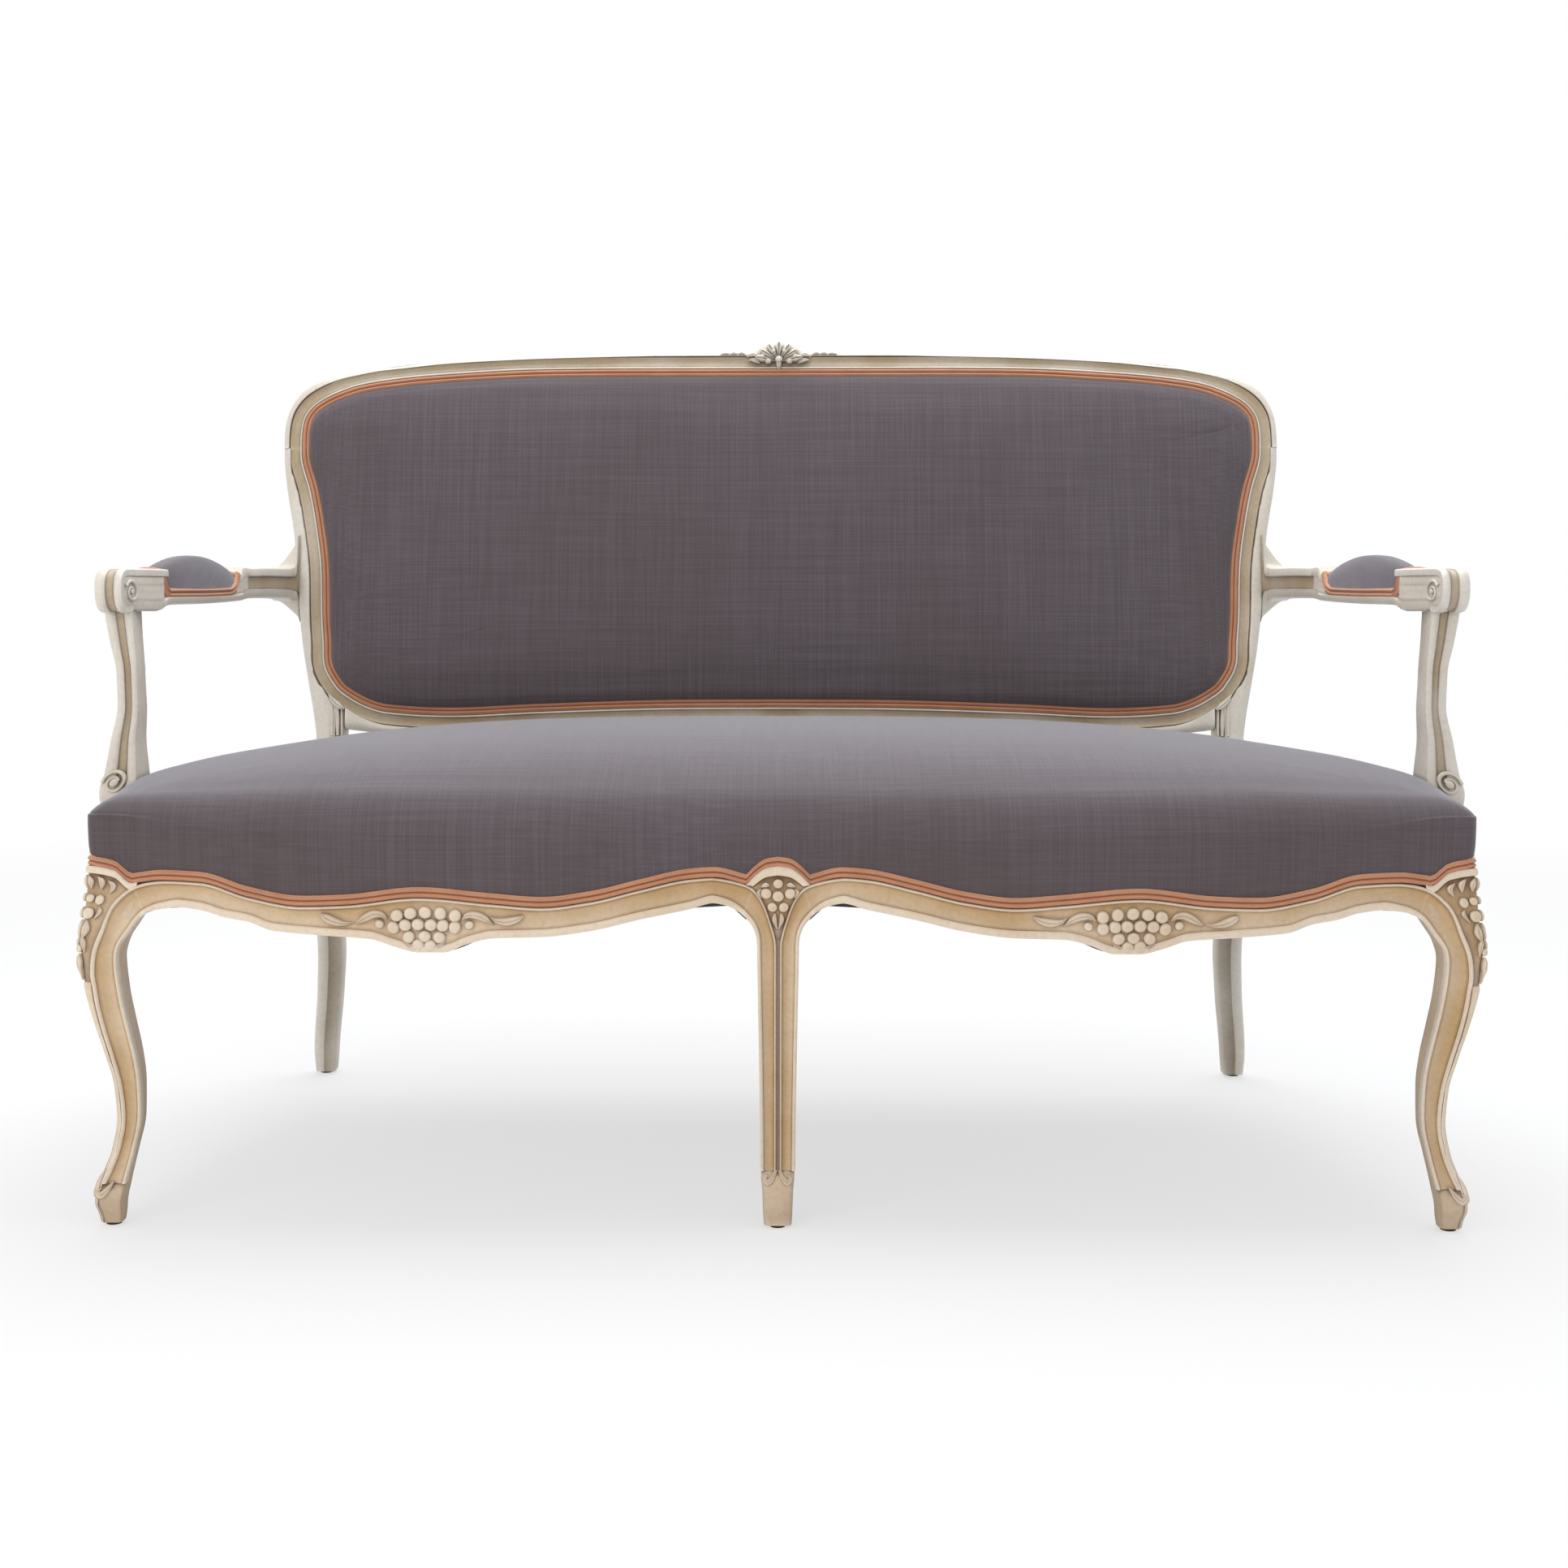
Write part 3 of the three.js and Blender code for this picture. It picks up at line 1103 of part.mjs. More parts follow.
// Outside back: a cloth sheet tacked over the rear of the frame, its edge under gimp
const sheetFront = backThickness + gap;
const sheetBack = sheetFront + coverThickness;
const sheetOut = -chamfer * 2;
add('outside_back_cover', loft([backRing(sheetOut, sheetFront), backRing(sheetOut, sheetBack)]), linen);
const rearGimpNear = sheetBack + clothGap;
const rearGimpFar = rearGimpNear + gimpThickness / 2;
add('back_gimp_rear', band(sheetOut, sheetOut + gimpHeight, rearGimpNear, rearGimpFar), gimpCloth);

// Arm pads: stuffing on the arm's core, a cloth cover open below and at its ends, and gimp round its foot
const padStepShares = spread(0.19, 0.59, 6);
const padGimpShares = [
  [0.172, 1], [0.185, 0.3], [0.21, 0], [0.28, 0], [0.36, 0], [0.44, 0], [0.53, 0], [0.57, 0.2], [0.585, 0.5],
  [0.597, 1],
];
const armRowAt = along => {
  const lines = [1, 2, 3, 4].map(column => smoothLine(armShares.map(row => [row[0], row[column]])));
  return [along, ...lines.map(line => line(along))];
};
function padSection(half, along, side, dome, low) {
  const { inner, outer, top } = armPlace(half, armRowAt(along));
  const t = (along - padStepShares[0]) / (padStepShares.at(-1) - padStepShares[0]);
  const rise = padRise * Math.sin(Math.PI * THREE.MathUtils.clamp(t, 0, 1)) ** 0.7 + chamfer;
  const [from, to] = [inner[0] + half * side, outer[0] - half * side];
  const across = (share, z) => [THREE.MathUtils.lerp(from, to, share), inner[1], z];
  return [
    across(0, low ?? top + clothGap), across(0, top + rise * 0.35 + dome),
    across(0.14, top + rise * 0.8 + dome), across(0.5, top + rise + dome),
    across(0.86, top + rise * 0.8 + dome), across(1, top + rise * 0.35 + dome),
    across(1, low ?? top + clothGap),
  ];
}
const ledgeAt = (half, along) => {
  const { low, top } = armPlace(half, armRowAt(along));
  return THREE.MathUtils.lerp(low, top, armLedgeShare);
};
for (const [name, half] of sides) {
  const inside = padStepShares.slice(0, -1).map((along, i) => (along + padStepShares[i + 1]) / 2);
  const stuffing = loft(inside.map(along => padSection(half, along, coveDepth + clothGap, 0)));
  add(`arm_pad_stuffing_${name}`, stuffing, hair);
  const outerSide = coveDepth - clothGap - coverThickness;
  const shell = loft(padStepShares.map(along => (
    padSection(half, along, outerSide, clothGap + coverThickness, ledgeAt(half, along) + chamfer)
  )));
  const long = [padStepShares[0] - 0.02, ...padStepShares.slice(1, -1), padStepShares.at(-1) + 0.02];
  const hollow = loft(long.map(along => (
    padSection(half, along, coveDepth - clothGap, clothGap * 1.5, ledgeAt(half, along) - overrun)
  )));
  add(`arm_pad_cover_${name}`, cut(shell, hollow), linen);
  const near = outerSide - clothGap;
  const far = near - gimpThickness;
  const rail = padGimpShares.map(([along, climb]) => {
    const { top } = armPlace(half, armRowAt(along));
    return [along, THREE.MathUtils.lerp(ledgeAt(half, along) + gap * 2, top + clothGap, climb)];
  });
  const gimpRing = (along, z, edge) => {
    const { inner, outer } = armPlace(half, armRowAt(along));
    const [x, y] = edge < 0 ? inner : outer;
    const [from, to] = [near, far].map(inset => x - half * edge * inset);
    return [[from, y, z], [from, y, z + gimpHeight], [to, y, z + gimpHeight], [to, y, z]];
  };
  add(`arm_gimp_${name}`, loop([
    ...rail.map(([along, z]) => gimpRing(along, z, -1)),
    ...rail.reverse().map(([along, z]) => gimpRing(along, z, 1)),
  ]), gimpCloth);
}

// The finished sofa stands with the middle of its outline over the origin
const centre = new THREE.Box3().setFromObject(sofa).getCenter(new THREE.Vector3());
sofa.position.y = -centre.y;

export default sofa;
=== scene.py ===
"""Cabriole sofa in the Louis XV manner: paint, carving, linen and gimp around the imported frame."""
import math

import bpy
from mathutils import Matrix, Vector


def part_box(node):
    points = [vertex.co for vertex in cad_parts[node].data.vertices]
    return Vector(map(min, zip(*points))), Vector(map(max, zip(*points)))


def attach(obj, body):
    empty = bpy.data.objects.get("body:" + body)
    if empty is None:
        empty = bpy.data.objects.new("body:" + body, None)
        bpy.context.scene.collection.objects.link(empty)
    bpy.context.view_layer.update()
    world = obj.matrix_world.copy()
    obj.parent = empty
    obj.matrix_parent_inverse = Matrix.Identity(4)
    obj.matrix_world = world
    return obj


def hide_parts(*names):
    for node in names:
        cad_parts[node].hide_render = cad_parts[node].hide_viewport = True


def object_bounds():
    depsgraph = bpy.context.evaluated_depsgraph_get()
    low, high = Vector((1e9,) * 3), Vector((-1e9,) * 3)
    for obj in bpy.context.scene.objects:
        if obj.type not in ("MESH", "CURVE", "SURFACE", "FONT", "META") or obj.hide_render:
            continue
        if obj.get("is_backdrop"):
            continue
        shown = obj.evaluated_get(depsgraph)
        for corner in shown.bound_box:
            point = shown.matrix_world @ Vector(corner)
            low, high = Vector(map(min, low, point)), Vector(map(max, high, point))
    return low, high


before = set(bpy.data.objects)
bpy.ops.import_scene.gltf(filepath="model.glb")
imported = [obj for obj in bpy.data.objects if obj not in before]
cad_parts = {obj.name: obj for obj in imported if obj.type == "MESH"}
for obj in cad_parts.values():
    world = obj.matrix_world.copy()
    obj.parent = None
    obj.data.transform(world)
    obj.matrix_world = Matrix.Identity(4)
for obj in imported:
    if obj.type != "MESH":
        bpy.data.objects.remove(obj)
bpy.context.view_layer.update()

# Camera and room
# The photograph was taken from seat-back height, 1.8 m in front of the feet, a little off the sofa's middle.
# A white floor, a white room and one broad soft light over the sofa.
row_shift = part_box("rear_rail")[1].y * 1000 - 600  # mm from the drawing's front feet line to the frame's origin
camera_place = (0, -1838.5, 596)
camera_data = bpy.data.cameras.new("camera")
camera_data.sensor_width = 36
camera_data.lens = 44.72
camera_data.shift_x = 0.0231
camera = bpy.data.objects.new("camera", camera_data)
camera.location = (0, (camera_place[1] + row_shift) / 1000, camera_place[2] / 1000)
camera.rotation_euler = (math.radians(84.86), 0, math.radians(0.9))
bpy.context.collection.objects.link(camera)
bpy.context.scene.camera = camera
bpy.context.scene.view_settings.view_transform = "Standard"


def put(tree, kind, values=None, **settings):
    """Adds a node, sets its options, and fills or links its inputs."""
    node = tree.nodes.new(kind)
    for name, value in settings.items():
        setattr(node, name, value)
    for name, value in (values or {}).items():
        if isinstance(value, bpy.types.NodeSocket):
            tree.links.new(value, node.inputs[name])
        else:
            node.inputs[name].default_value = value
    return node


def sums(tree, operation, *numbers, clamp=False):
    """One Math node."""
    node = put(tree, "ShaderNodeMath", dict(enumerate(numbers)), operation=operation, use_clamp=clamp)
    return node.outputs[0]


def tint(tree, amount, first, second, mode="MIX"):
    """One colour Mix node."""
    values = {0: amount, 6: first, 7: second}
    return put(tree, "ShaderNodeMix", values, data_type="RGBA", blend_type=mode).outputs[2]


def ramp(tree, value, low, high, to_low=0.0, to_high=1.0):
    """One clamped Map Range node."""
    values = {"Value": value, "From Min": low, "From Max": high, "To Min": to_low, "To Max": to_high}
    return put(tree, "ShaderNodeMapRange", values).outputs[0]


def colour(red, green, blue):
    """A colour read off the sofa, 0 to 255, in linear light."""
    def linear(value):
        value /= 255
        return value / 12.92 if value <= 0.04045 else ((value + 0.055) / 1.055) ** 2.4
    return (linear(red), linear(green), linear(blue), 1)


def new_material(name, roughness, **settings):
    """A material with one Principled shader."""
    material = bpy.data.materials.new(name)
    material.use_nodes = True
    shader = material.node_tree.nodes["Principled BSDF"]
    shader.inputs["Roughness"].default_value = roughness
    for socket, value in settings.items():
        shader.inputs[socket.replace("_", " ")].default_value = value
    return material, material.node_tree, shader


room = bpy.data.worlds.new("room")
room.use_nodes = True
bpy.context.scene.world = room
tree = room.node_tree
tree.nodes.clear()
rays = put(tree, "ShaderNodeLightPath")
seen = sums(tree, "MAXIMUM", rays.outputs["Is Camera Ray"], rays.outputs["Is Glossy Ray"])
daylight = put(tree, "ShaderNodeBackground", {"Color": (0.93, 0.95, 1.0, 1), "Strength": 0.62})
backdrop = put(tree, "ShaderNodeBackground", {"Color": (1, 1, 1, 1), "Strength": 1.0})
mixed = put(tree, "ShaderNodeMixShader", {0: seen, 1: daylight.outputs[0], 2: backdrop.outputs[0]})
put(tree, "ShaderNodeOutputWorld", {"Surface": mixed.outputs[0]})

for name, place, aim, size, power, warmth in (
        ("top_light", (0.1, 0.55, 2.5), (0, 0.05, 0.4), 2.4, 62, (0.97, 0.985, 1.0)),
        ("front_light", (-1.5, -2.6, 1.3), (0, 0, 0.4), 2.2, 24, (1.0, 0.93, 0.84)),
):
    lamp = bpy.data.lights.new(name, "AREA")
    lamp.size = size
    lamp.energy = power
    lamp.color = warmth
    light = bpy.data.objects.new(name, lamp)
    light.location = place
    light.rotation_euler = (Vector(aim) - Vector(place)).to_track_quat("-Z", "Y").to_euler()
    bpy.context.collection.objects.link(light)

bpy.ops.object.select_all(action="DESELECT")
bpy.ops.mesh.primitive_plane_add(size=40, location=(0, 0, -0.0005))
floor = bpy.context.object
floor.name = "floor"
floor_paint, tree, shader = new_material("white floor", 0.9, Base_Color=(0.86, 0.86, 0.86, 1))
rays = put(tree, "ShaderNodeLightPath")
glow = put(tree, "ShaderNodeEmission", {"Color": (1, 1, 1, 1), "Strength": 1.0})
where = put(tree, "ShaderNodeTexCoord").outputs["Object"]
away = put(tree, "ShaderNodeVectorMath", {0: where}, operation="LENGTH").outputs["Value"]
share = sums(tree, "MULTIPLY", rays.outputs["Is Camera Ray"], ramp(tree, away, 0.9, 3.4, 0.62, 1.0))
mixed = put(tree, "ShaderNodeMixShader", {0: share, 1: shader.outputs[0], 2: glow.outputs[0]})
tree.links.new(mixed.outputs[0], tree.nodes["Material Output"].inputs["Surface"])
floor.data.materials.append(floor_paint)
floor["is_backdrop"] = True

# Painted finish
# Beech under cream paint, rubbed thin on the raised edges, with an ochre wash in the hollows and a brown glaze
# left in every groove. The legs and rails take a warmer copy of the paint than the back and arms. This is painted
# light: the warmer copy stands in for the warmer light that falls on the lower frame.
paint_group = bpy.data.node_groups.new("antiqued paint", "ShaderNodeTree")
for name in ("Cream", "Ochre", "Glaze"):
    paint_group.interface.new_socket(name, in_out="INPUT", socket_type="NodeSocketColor")
for name in ("Tone", "Dirt"):
    paint_group.interface.new_socket(name, in_out="INPUT", socket_type="NodeSocketFloat")
paint_group.interface.new_socket("Color", in_out="OUTPUT", socket_type="NodeSocketColor")
paint_group.interface.new_socket("Roughness", in_out="OUTPUT", socket_type="NodeSocketFloat")
paint_group.interface.new_socket("Height", in_out="OUTPUT", socket_type="NodeSocketFloat")
given = put(paint_group, "NodeGroupInput")
where = put(paint_group, "ShaderNodeTexCoord").outputs["Object"]
cloud = put(paint_group, "ShaderNodeTexNoise", {"Vector": where, "Scale": 11, "Detail": 5}).outputs[0]
speck = put(paint_group, "ShaderNodeTexNoise", {"Vector": where, "Scale": 210, "Detail": 4}).outputs[0]
# Ambient occlusion darkens the paint towards the glaze where surfaces lie close. Part of this is the brown glaze in the
# hollows, and part is painted shade where parts meet, as against the gimp and the linen.
near = put(paint_group, "ShaderNodeAmbientOcclusion", {"Distance": 0.005}, samples=6).outputs["AO"]
crevice_glaze_and_shade = ramp(paint_group, near, 0.35, 0.92, 1.0, 0.0)
edge = put(paint_group, "ShaderNodeNewGeometry").outputs["Pointiness"]
rubbed = ramp(paint_group, edge, 0.52, 0.6)
tone = sums(paint_group, "ADD", given.outputs["Tone"], ramp(paint_group, cloud, 0.3, 0.7, -0.28, 0.28), clamp=True)
base = tint(paint_group, tone, given.outputs["Cream"], given.outputs["Ochre"])
base = tint(paint_group, sums(paint_group, "MULTIPLY", rubbed, 0.45), base, (1.0, 0.93, 0.8, 1), "SCREEN")
# This mask holds the glaze and dirt from the marks, the painted shade of the occlusion term, and the specks.
grime_and_shade = sums(paint_group, "MULTIPLY", given.outputs["Dirt"], ramp(paint_group, cloud, 0.25, 0.75, 0.5, 1.1))
grime_and_shade = sums(paint_group, "ADD", grime_and_shade, sums(paint_group, "MULTIPLY", crevice_glaze_and_shade, 0.42), clamp=True)
flecks = ramp(paint_group, speck, 0.62, 0.72, 0.0, 0.17)
grime_and_shade = sums(paint_group, "MAXIMUM", grime_and_shade, flecks)
painted = tint(paint_group, grime_and_shade, base, given.outputs["Glaze"])
painted = tint(paint_group, 1.0, painted, ramp(paint_group, speck, 0.2, 0.8, 0.88, 1.06), "MULTIPLY")
put(paint_group, "NodeGroupOutput", {
    "Color": painted,
    "Roughness": ramp(paint_group, grime_and_shade, 0.0, 1.0, 0.44, 0.72),
    "Height": sums(paint_group, "ADD", speck, sums(paint_group, "MULTIPLY", cloud, 0.6)),
})


def paint(name, cream, ochre, glaze):
    """One copy of the painted finish in its own colours; the warm and cool copies stand in for warmer and cooler light.
    """
    material, tree, shader = new_material(name, 0.5)
    marks = [put(tree, "ShaderNodeAttribute", attribute_name=mark).outputs["Fac"] for mark in ("tone", "dirt")]
    node = put(tree, "ShaderNodeGroup", node_tree=paint_group)
    for socket, value in zip(("Cream", "Ochre", "Glaze"), (cream, ochre, glaze)):
        node.inputs[socket].default_value = value
    tree.links.new(marks[0], node.inputs["Tone"])
    tree.links.new(marks[1], node.inputs["Dirt"])
    bump = put(tree, "ShaderNodeBump", {"Height": node.outputs["Height"], "Strength": 0.35, "Distance": 0.0006})
    tree.links.new(node.outputs["Color"], shader.inputs["Base Color"])
    tree.links.new(node.outputs["Roughness"], shader.inputs["Roughness"])
    tree.links.new(bump.outputs[0], shader.inputs["Normal"])
    return material


# Painted light: the warm copy stands in for the warmer light on the legs and rails, and the cool copy for the cooler
# light on the back and arms.
warm_lit_paint = paint("warm-lit antiqued paint", colour(232, 213, 188), colour(196, 160, 110), colour(104, 74, 46))
cool_lit_paint = paint("cool-lit antiqued paint", colour(226, 219, 206), colour(188, 168, 136), colour(98, 82, 64))

# Front rails
# Two beech rails, bowed forward and serpentine below, run from the centre leg to the corner legs. A cove between
# two beads follows the low edge, and a basket of berries between scrolls is carved in the middle of each.
foot_x = 651.5
face_reach = 8
cheek_x = 610.5
cheek_y = 41
centre_half = 30
rail_low = 272.5
rail_depth = 93.5
rail_top = 366
rail_thickness = 28
rebate = 4.5
front_bow = 17
knee_reach = 15.5
leg_foot = 3.1
leg_height = 362.9


def smooth(rows):
    """A smooth line through rows of place and value."""
    rises = [(b[1] - a[1]) / (b[0] - a[0]) for a, b in zip(rows, rows[1:])]
    slopes = []
    for i in range(len(rows)):
        left, right = rises[max(i - 1, 0)], rises[min(i, len(rises) - 1)]
        slopes.append(2 * left * right / (left + right) if left * right > 0 else 0)

    def value(place):
        i = 0
        while i < len(rows) - 2 and place > rows[i + 1][0]:
            i += 1
        (start, low), (end, high) = rows[i][:2], rows[i + 1][:2]
        span = end - start
        t = min(max((place - start) / span, 0), 1)
        bend = slopes[i] * span * t * (1 - t) ** 2 - slopes[i + 1] * span * t * t * (1 - t)
        return low + (high - low) * t * t * (3 - 2 * t) + bend
    return value


def lerp(a, b, t):
    """A value between two others."""
    return a + (b - a) * t


def ease(value, start, end):
    """0 before start, 1 after end, and smooth between."""
    t = min(max((value - start) / (end - start), 0), 1)
    return t * t * (3 - 2 * t)


def spline(rows, step):
    """Rows of numbers along a smooth line, about one step apart by their first four columns."""
    places = [0]
    for a, b in zip(rows, rows[1:]):
        places.append(places[-1] + max(math.dist(a[:4], b[:4]), 0.01))
    slopes = []
    for i in range(len(rows)):
        a, b = max(i - 1, 0), min(i + 1, len(rows) - 1)
        slopes.append([(rows[b][k] - rows[a][k]) / (places[b] - places[a]) for k in range(len(rows[0]))])
    result = []
    for i in range(len(rows) - 1):
        span = places[i + 1] - places[i]
        count = max(1, round(span / step))
        for j in range(count):
            t = j / count
            result.append([
                lerp(a, b, t * t * (3 - 2 * t)) + span * (m * t * (1 - t) ** 2 - n * t * t * (1 - t))
                for a, b, m, n in zip(rows[i], rows[i + 1], slopes[i], slopes[i + 1])
            ])
    return result + [list(rows[-1])]


front_low = smooth([
    [0, 0.311], [0.026, 0.444], [0.053, 0.487], [0.093, 0.427], [0.174, 0.326], [0.253, 0.215], [0.333, 0.155],
    [0.412, 0.144], [0.454, 0.086], [0.493, 0], [0.534, 0], [0.574, 0.059], [0.613, 0.134], [0.694, 0.166],
    [0.775, 0.209], [0.814, 0.294], [0.854, 0.337], [0.893, 0.406], [0.935, 0.433], [0.969, 0.397], [1, 0.325],
])
front_line = smooth([
    [0, 0.663], [0.053, 0.743], [0.093, 0.728], [0.172, 0.626], [0.253, 0.508], [0.332, 0.45], [0.412, 0.487],
    [0.533, 0.551], [0.653, 0.471], [0.727, 0.4545], [0.813, 0.54], [0.893, 0.684], [0.96, 0.7], [1, 0.67],
])
leg_rows = [
    [0, 0.33, 0.55, 0], [0.022, 0.42, 0.62, 0], [0.055, 0.6, 0.72, 0], [0.099, 0.48, 0.746, 0],
    [0.143, 0.1, 0.67, 0], [0.187, -0.24, 0.616, 0], [0.275, -0.53, 0.654, 0], [0.364, -0.42, 0.727, 0],
    [0.451, -0.04, 0.836, 0], [0.54, 0.41, 0.907, 0], [0.628, 0.78, 0.954, 0], [0.714, 1, 1, 0],
    [0.763, 0.96, 1, 0.25], [0.801, 0.86, 1, 0.72], [0.827, 0.8, 1, 1], [0.92, 0.54, 1, 1], [1, 0.516, 1, 1],
]
leg_reach, leg_width, leg_head = (smooth([[row[0], row[k]] for row in leg_rows]) for k in (1, 2, 3))


def rail_z(share):
    """Height of a share of the rail's depth."""
    return rail_low + rail_depth * share


def rail_share(x):
    """Place along the half rail, from the centre leg to the corner leg."""
    return min(max((abs(x) - centre_half) / (cheek_x - centre_half), 0), 1)


def reach_at(z):
    """How far the leg's face stands outside the foot line."""
    return knee_reach * leg_reach((z - leg_foot) / leg_height)


def width_at(z):
    """Width of the corner leg, foot to head."""
    share = (z - leg_foot) / leg_height
    return lerp(36.7 * leg_width(share), 49, leg_head(share))


def face_at(distance, z):
    """Reach of a face at a distance from the leg's corner: the leg's own, then the rail's."""
    return lerp(reach_at(z), face_reach, ease(distance, 27, 60))


def front_place(x, z, lift):
    """A place on the front of the rails and legs, lifted off it."""
    bow = front_bow * math.sin(math.pi * rail_share(x))
    if abs(x) < 60:
        reach = lerp(reach_at(z), face_reach, ease(abs(x), 18, 48))
    else:
        reach = face_at(foot_x + reach_at(z) - abs(x), z)
    return x, -reach - bow - lift, z


def new_shape():
    """An empty mesh in the making."""
    return {"points": [], "faces": [], "marks": []}


def skin(shape, rings, ends=True, closed=False):
    """Joins rings of x, y, z and two marks into a skin."""
    base, count = len(shape["points"]), len(rings[0])
    for ring in rings:
        for x, y, z, first, second in ring:
            shape["points"].append((x / 1000, (y + row_shift) / 1000, z / 1000))
            shape["marks"].append((first, second))
    total = len(rings)
    for r in range(total if closed else total - 1):
        for i in range(count):
            a, b = base + r * count, base + (r + 1) % total * count
            j = (i + 1) % count
            shape["faces"].append((a + i, a + j, b + j, b + i))
    if ends and not closed:
        shape["faces"].append(tuple(range(base, base + count)))
        shape["faces"].append(tuple(reversed(range(base + (total - 1) * count, base + total * count))))


def piece_of(name, shape, material, nodes, crease=35, marks=("tone", "dirt")):
    """Makes the shape a finished piece: outward faces, smooth shading, its marks, its material and its place."""
    mesh = bpy.data.meshes.new(name)
    mesh.from_pydata(shape["points"], [], shape["faces"])
    for k, mark in enumerate(marks):
        layer = mesh.attributes.new(mark, "FLOAT", "POINT")
        layer.data.foreach_set("value", [row[k] for row in shape["marks"]])
    piece = bpy.data.objects.new(name, mesh)
    bpy.context.collection.objects.link(piece)
    bpy.ops.object.select_all(action="DESELECT")
    piece.select_set(True)
    bpy.context.view_layer.objects.active = piece
    bpy.ops.object.mode_set(mode="EDIT")
    bpy.ops.mesh.select_all(action="SELECT")
    bpy.ops.mesh.normals_make_consistent(inside=False)
    bpy.ops.object.mode_set(mode="OBJECT")
    bpy.ops.object.shade_smooth_by_angle(angle=math.radians(crease))
    mesh.materials.append(material)
    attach(piece, "root")
    if nodes:
        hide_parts(*nodes)
    return piece


def cove_rows(width, near, far, depth):
    """Section of the moulding: bead, line, cove, line, bead. Rows of distance, lift, tone and dirt."""
    rows = [(0, -9, 0.3, 0.3)]
    rows += [(near * k / 4, -0.7 + 1.5 * math.sin(math.pi * k / 4), 0.02, 0) for k in range(5)]
    rows += [(near + 0.25, -1.1, 0.5, 0.9), (near + 0.8, -1.4, 0.6, 0.4)]
    start, end = near + 0.8, width - far - 0.8
    for k in range(1, 8):
        hollow = math.sin(math.pi * k / 8)
        rows.append((lerp(start, end, k / 8), -1.4 - depth * hollow, lerp(0.42, 0.88, k / 8), 0.06))
    rows += [(end, -1.4, 0.9, 0.5), (width - far - 0.25, -1.1, 0.7, 0.9)]
    rows += [(width - far * (1 - k / 4), -0.7 + 1.7 * math.sin(math.pi * k / 4), 0.02, 0) for k in range(5)]
    return rows + [(width, -9, 0.3, 0.3)]


def moulding(shape, stations, place, half):
    """Sweeps the moulding along stations of inner u, z, outer u, z, near bead, far bead and cove depth."""
    rings = []
    for inner_u, inner_z, outer_u, outer_z, near, far, depth in stations:
        width = math.dist((inner_u, inner_z), (outer_u, outer_z))
        ring = []
        for distance, lift, tone, dirt in cove_rows(width, near, far, depth):
            t = distance / width
            x, y, z = place(lerp(inner_u, outer_u, t), lerp(inner_z, outer_z, t), lift)
            ring.append((half * x, y, z, tone, dirt))
        rings.append(ring)
    skin(shape, rings)


centre_width = smooth([[0, 26.4], [8, 27.6], [39, 30], [55, 33.6], [93, 34.4], [155, 36], [220, 38], [280, 40]])
knee_band = smooth([
    [0, 4], [60, 4.6], [150, 5.2], [200, 6.5], [225, 8], [243, 9.5], [256, 10.5], [276, 14.5], [296, 21],
])


def front_stations():
    """The moulding of the front, from the centre leg's foot up, along the rail and down the corner leg."""
    rows = [[centre_width(z) / 2, z, 1.9, z, 3.4, 1.6, 2.0] for z in (56, 75, 105, 140, 175, 210, 245, 268)]
    rows += [
        [20, 280, 2.2, 281, 3.4, 1.7, 2.0], [20.7, 286, 4.5, 292, 3.6, 1.9, 2.2], [22.3, 291.5, 8, 303, 4, 2, 2.5],
        [25, 297, 12, 314, 4.4, 2.2, 2.8], [29, 302, 18, 325, 4.8, 2.3, 3], [35, 307.8, 26, 333, 5.1, 2.4, 3],
        [43, 313, 38, 337.5, 5.9, 2.5, 2.9], [52, 316.3, 50, 340.3, 6.7, 2.4, 2.7],
    ]
    for x in range(62, 580, 7):
        t = rail_share(x)
        rows.append([x, rail_z(front_low(t)), x, rail_z(front_line(t)), 7.4, 2.4, 2.6])
    rows += [
        [588, 311, 590, 337.5, 6.4, 2.5, 2.8], [598, 309, 604, 335.5, 5, 2.8, 3], [606, 304.8, 615, 332, 4.6, 3, 3],
        [612.5, 298.6, 625, 325.5, 4.2, 3.3, 3], [619.4, 288.7, 636, 313.5, 3.8, 3.6, 3],
    ]
    for z in (276, 265, 250, 235, 215, 190, 160, 130, 100, 75, 55, 42):
        outer = foot_x + reach_at(z)
        rise = 20 * ease(z, 250, 290)
        rows.append([
            outer - width_at(z), z, foot_x + reach_at(z + rise) - knee_band(z + rise), z + rise,
            3.4, 4.2, 2.6 * width_at(z) / 36.7,
        ])
    return spline(rows, 3.5)


front_line_stations = front_stations()


def berry(shape, place, half, u, z, radius, height=3.6):
    """A carved berry, a plain rounded pebble."""
    rings = []
    for share, lift, dirt in ((1, -2, 0.6), (1, 0.15, 0.35), (0.93, 0.5, 0.1), (0.76, 0.79, 0), (0.5, 0.94, 0),
                              (0.24, 0.99, 0), (0.04, 1, 0)):
        ring = []
        for k in range(15):
            turn = math.tau * k / 15
            lobe = 1 + 0.04 * math.cos(2 * turn + u) * share
            x, y, height_z = place(
                u + radius * share * lobe * math.cos(turn), z + radius * share * lobe * math.sin(turn),
                height * lift if lift > 0 else lift,
            )
            ring.append((half * x, y, height_z, 0.15, dirt))
        rings.append(ring)
    skin(shape, rings)


